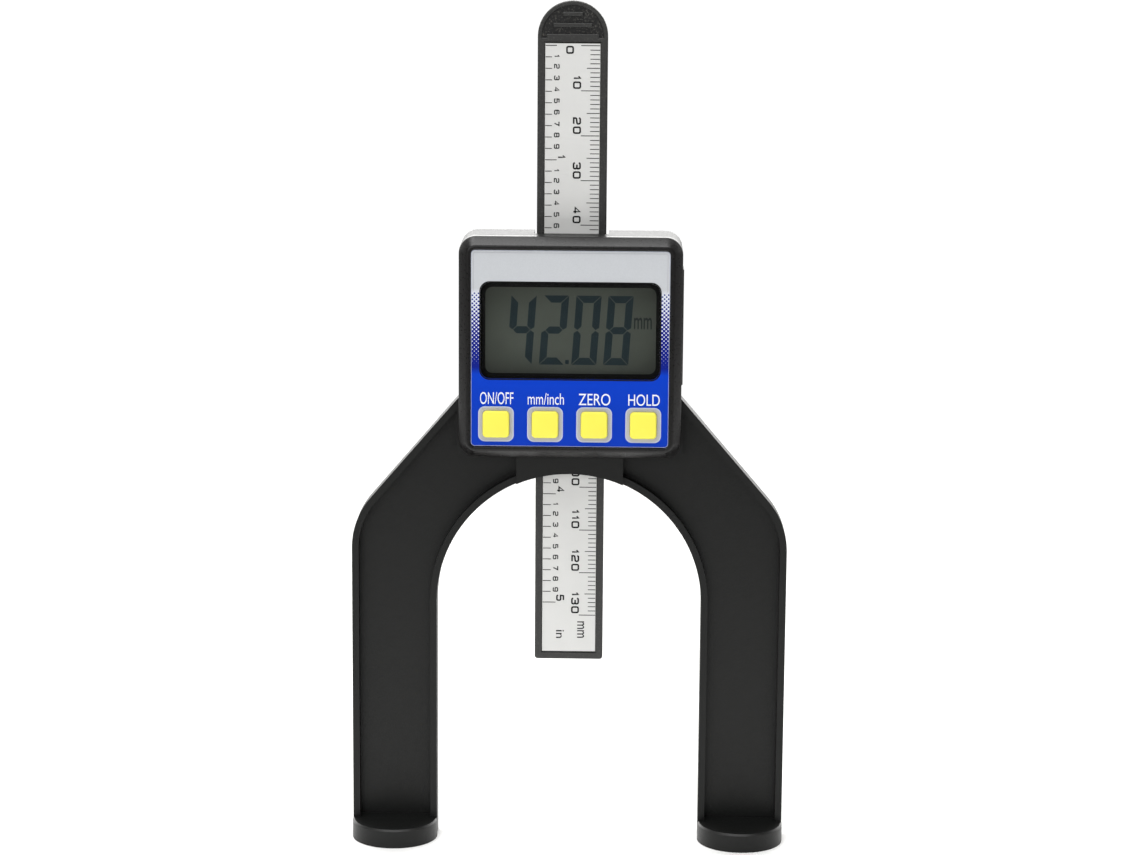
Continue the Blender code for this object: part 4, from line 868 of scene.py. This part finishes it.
def make_fittings():
    """Battery drawer, fasteners and everything inside the head."""
    rounded_copy("battery_drawer", SKINS["case"], "battery_drawer", 0.1 * MM)

    def numbered(name, count):
        """Names of a set of like nodes."""
        return [f"{name}_{index}" for index in range(1, count + 1)]

    finishes = {
        "screw": numbered("cover_screw", 4) + numbered("plate_screw", 4) + numbered("pcb_screw", 2),
        "magnet": ["foot_magnet_left", "foot_magnet_right"],
        "spring": ["guide_spring", "contact_front", "contact_back"] + numbered("key_dome", 4),
        "cell": ["button_cell"], "board": ["main_pcb"], "field": ["reader_electrodes"], "epoxy": ["chip_cap"],
        "crystal": ["quartz_crystal"], "zebra": ["zebra_upper", "zebra_lower"], "mask": ["lcd_holder"],
    }
    for skin, nodes in finishes.items():
        for node in nodes:
            dress(node, skin)


# Lamps: name, place, size and power
LAMPS = (
    ("overhead_softbox", (-0.08, -0.12, 0.74), (0.7, 0.5), 5.6),
    ("front_fill", (-0.45, -1.2, 0.52), (0.8, 0.45), 4.2),
)
LAMP_TARGET = Vector((0, 0, 0.09))

# Camera, as it was fitted to the photograph with the picture's centre as principal point
PHOTO_WIDTH, FOCAL_PIXELS, SENSOR_WIDTH = 1140, 3050.785, 36
CAMERA_PITCH, CAMERA_YAW, CAMERA_ROLL = math.radians(10.838), math.radians(0.991), math.radians(0.414)
CAMERA_PLACE = (0.011726, -0.679544, 0.226450)


def make_floor():
    """Pale floor, deep enough to hold the soft shadows and no deeper than the light reaches."""
    left, right, near, far = -420, 420, -300, 520
    corners, faces = strips([left], [right], [near], [far], 0)
    mesh = bpy.data.meshes.new("floor")
    mesh.from_pydata((corners[:, (0, 2, 1)] * MM).tolist(), [], faces)
    floor = bpy.data.objects.new("floor", mesh)
    bpy.context.scene.collection.objects.link(floor)
    # Matt white laminate of a photographer's table
    specular = {"Specular IOR Level": 0.1}
    mesh.materials.append(grained("matt_white_laminate", srgb("#f4f4f3"), 0.8, 3.0, specular, 0.01, 0.0))


def light_world():
    """Studio air: bright behind the object and above the horizon, dim elsewhere, white where it is seen."""
    dim, bright, seen_white = 0.22, 3.9, 1.05
    # How far a direction points back or up where the light starts and where it is full
    back_range, up_range = (0.25, 0.8), (-0.08, 0.14)
    world = bpy.data.worlds.new("studio")
    bpy.context.scene.world = world
    world.use_nodes = True
    tree = world.node_tree
    lit = tree.nodes["Background"]
    place = add_node(tree, "ShaderNodeTexCoord").outputs["Generated"]
    axes = add_node(tree, "ShaderNodeSeparateXYZ", {}, {}, {0: place})
    behind = ramp(tree, axes.outputs["Y"], *back_range, 0, bright, smooth=True)
    raised = ramp(tree, axes.outputs["Z"], *up_range, smooth=True)
    light = add_node(tree, "ShaderNodeMath", {"operation": "MULTIPLY_ADD"}, {2: dim}, {0: behind, 1: raised})
    tree.links.new(light.outputs[0], lit.inputs["Strength"])
    lit.inputs["Color"].default_value = (1.0, 0.995, 0.985, 1)
    seen = add_node(tree, "ShaderNodeBackground", {}, {"Color": (1, 1, 1, 1), "Strength": seen_white})
    path = add_node(tree, "ShaderNodeLightPath")
    mix = add_node(tree, "ShaderNodeMixShader", {}, {}, {
        0: path.outputs["Is Camera Ray"], 1: lit.outputs[0], 2: seen.outputs[0],
    })
    tree.links.new(mix.outputs[0], tree.nodes["World Output"].inputs["Surface"])


def hang_lamps():
    """Two soft area lamps that look at the object."""
    for name, spot, size, power in LAMPS:
        data = bpy.data.lights.new(name, "AREA")
        data.shape = "RECTANGLE"
        data.size, data.size_y = size
        data.energy = power
        lamp = bpy.data.objects.new(name, data)
        bpy.context.scene.collection.objects.link(lamp)
        lamp.location = spot
        lamp.rotation_euler = (LAMP_TARGET - lamp.location).to_track_quat("-Z", "Y").to_euler()


def place_camera():
    """Camera at the fitted place, tilted down, turned and rolled by the fitted angles."""
    scene = bpy.context.scene
    data = bpy.data.cameras.new("camera")
    data.sensor_width = SENSOR_WIDTH
    data.sensor_fit = "HORIZONTAL"
    data.lens = SENSOR_WIDTH * FOCAL_PIXELS / PHOTO_WIDTH
    data.clip_start, data.clip_end = 0.01, 50
    camera = bpy.data.objects.new("camera", data)
    scene.collection.objects.link(camera)
    level = Vector((-math.sin(CAMERA_YAW), math.cos(CAMERA_YAW), 0))
    ahead = math.cos(CAMERA_PITCH) * level - Vector((0, 0, math.sin(CAMERA_PITCH)))
    side = Vector((math.cos(CAMERA_YAW), math.sin(CAMERA_YAW), 0))
    up = side.cross(ahead)
    right = math.cos(CAMERA_ROLL) * side + math.sin(CAMERA_ROLL) * up
    top = math.cos(CAMERA_ROLL) * up - math.sin(CAMERA_ROLL) * side
    turned = Matrix((right, top, -ahead)).transposed().to_4x4()
    camera.matrix_world = Matrix.Translation(CAMERA_PLACE) @ turned
    scene.camera = camera


def make_stage():
    """Stage: the floor, the light and the camera."""
    bpy.context.scene.view_settings.view_transform = "Standard"
    make_floor()
    light_world()
    hang_lamps()
    place_camera()


def settings():
    """Sizes and colours that the panel holds."""
    return bpy.context.scene.gauge_sizes, bpy.context.scene.gauge_colours


class GAUGE_OT_finishes(Operator):
    """Mix the plastics, films, inks and metals"""
    bl_idname = "gauge.finishes"
    bl_label = "Finishes"

    def execute(self, context):
        mix_materials(*settings())
        return {"FINISHED"}


class GAUGE_OT_case(Operator):
    """Make the arched stand with the case of the head, and the back plate"""
    bl_idname = "gauge.case"
    bl_label = "Stand and case"

    def execute(self, context):
        make_case(settings()[0])
        return {"FINISHED"}


class GAUGE_OT_cover(Operator):
    """Make the front cover, its label and the keys"""
    bl_idname = "gauge.cover"
    bl_label = "Cover, label and keys"

    def execute(self, context):
        sizes = settings()[0]
        make_cover()
        make_label(sizes)
        make_keys(sizes)
        return {"FINISHED"}


class GAUGE_OT_display(Operator):
    """Make the display with its digits"""
    bl_idname = "gauge.display"
    bl_label = "Display"

    def execute(self, context):
        make_display(settings()[0])
        return {"FINISHED"}


class GAUGE_OT_beam(Operator):
    """Make the sliding beam and its scale"""
    bl_idname = "gauge.beam"
    bl_label = "Beam and scale"

    def execute(self, context):
        make_beam(settings()[0])
        return {"FINISHED"}


class GAUGE_OT_lock(Operator):
    """Make the lock knob and dress its stud and pad"""
    bl_idname = "gauge.lock"
    bl_label = "Lock"

    def execute(self, context):
        make_lock(settings()[0])
        return {"FINISHED"}


class GAUGE_OT_fittings(Operator):
    """Make the battery drawer and dress the fasteners and the inside"""
    bl_idname = "gauge.fittings"
    bl_label = "Drawer, fasteners and inside"

    def execute(self, context):
        make_fittings()
        return {"FINISHED"}


class GAUGE_OT_stage(Operator):
    """Set up the floor, the light and the camera"""
    bl_idname = "gauge.stage"
    bl_label = "Stage"

    def execute(self, context):
        make_stage()
        return {"FINISHED"}


OPERATORS = (
    GAUGE_OT_finishes, GAUGE_OT_case, GAUGE_OT_cover, GAUGE_OT_display, GAUGE_OT_beam, GAUGE_OT_lock,
    GAUGE_OT_fittings, GAUGE_OT_stage,
)


class GAUGE_PT_looks(Panel):
    """Panel that lists the sizes, the colours and the operators"""
    bl_idname = "GAUGE_PT_looks"
    bl_label = "Height gauge"
    bl_space_type = "VIEW_3D"
    bl_region_type = "UI"
    bl_category = "Gauge"

    def draw(self, context):
        for group in settings():
            for name in group.__annotations__:
                self.layout.prop(group, name)
        for operator in OPERATORS:
            self.layout.operator(operator.bl_idname)


CLASSES = (GaugeSizes, GaugeColours) + OPERATORS + (GAUGE_PT_looks,)


def register():
    """Register the classes and put the settings on the scene."""
    for item in CLASSES:
        bpy.utils.register_class(item)
    bpy.types.Scene.gauge_sizes = PointerProperty(type=GaugeSizes)
    bpy.types.Scene.gauge_colours = PointerProperty(type=GaugeColours)


def unregister():
    """Take the settings off the scene and unregister the classes."""
    del bpy.types.Scene.gauge_colours
    del bpy.types.Scene.gauge_sizes
    for item in reversed(CLASSES):
        bpy.utils.unregister_class(item)


def main():
    """Make the gauge and its stage."""
    register()
    bpy.ops.gauge.finishes()
    bpy.ops.gauge.case()
    bpy.ops.gauge.cover()
    bpy.ops.gauge.display()
    bpy.ops.gauge.beam()
    bpy.ops.gauge.lock()
    bpy.ops.gauge.fittings()
    bpy.ops.gauge.stage()


if __name__ == "__main__":
    main()
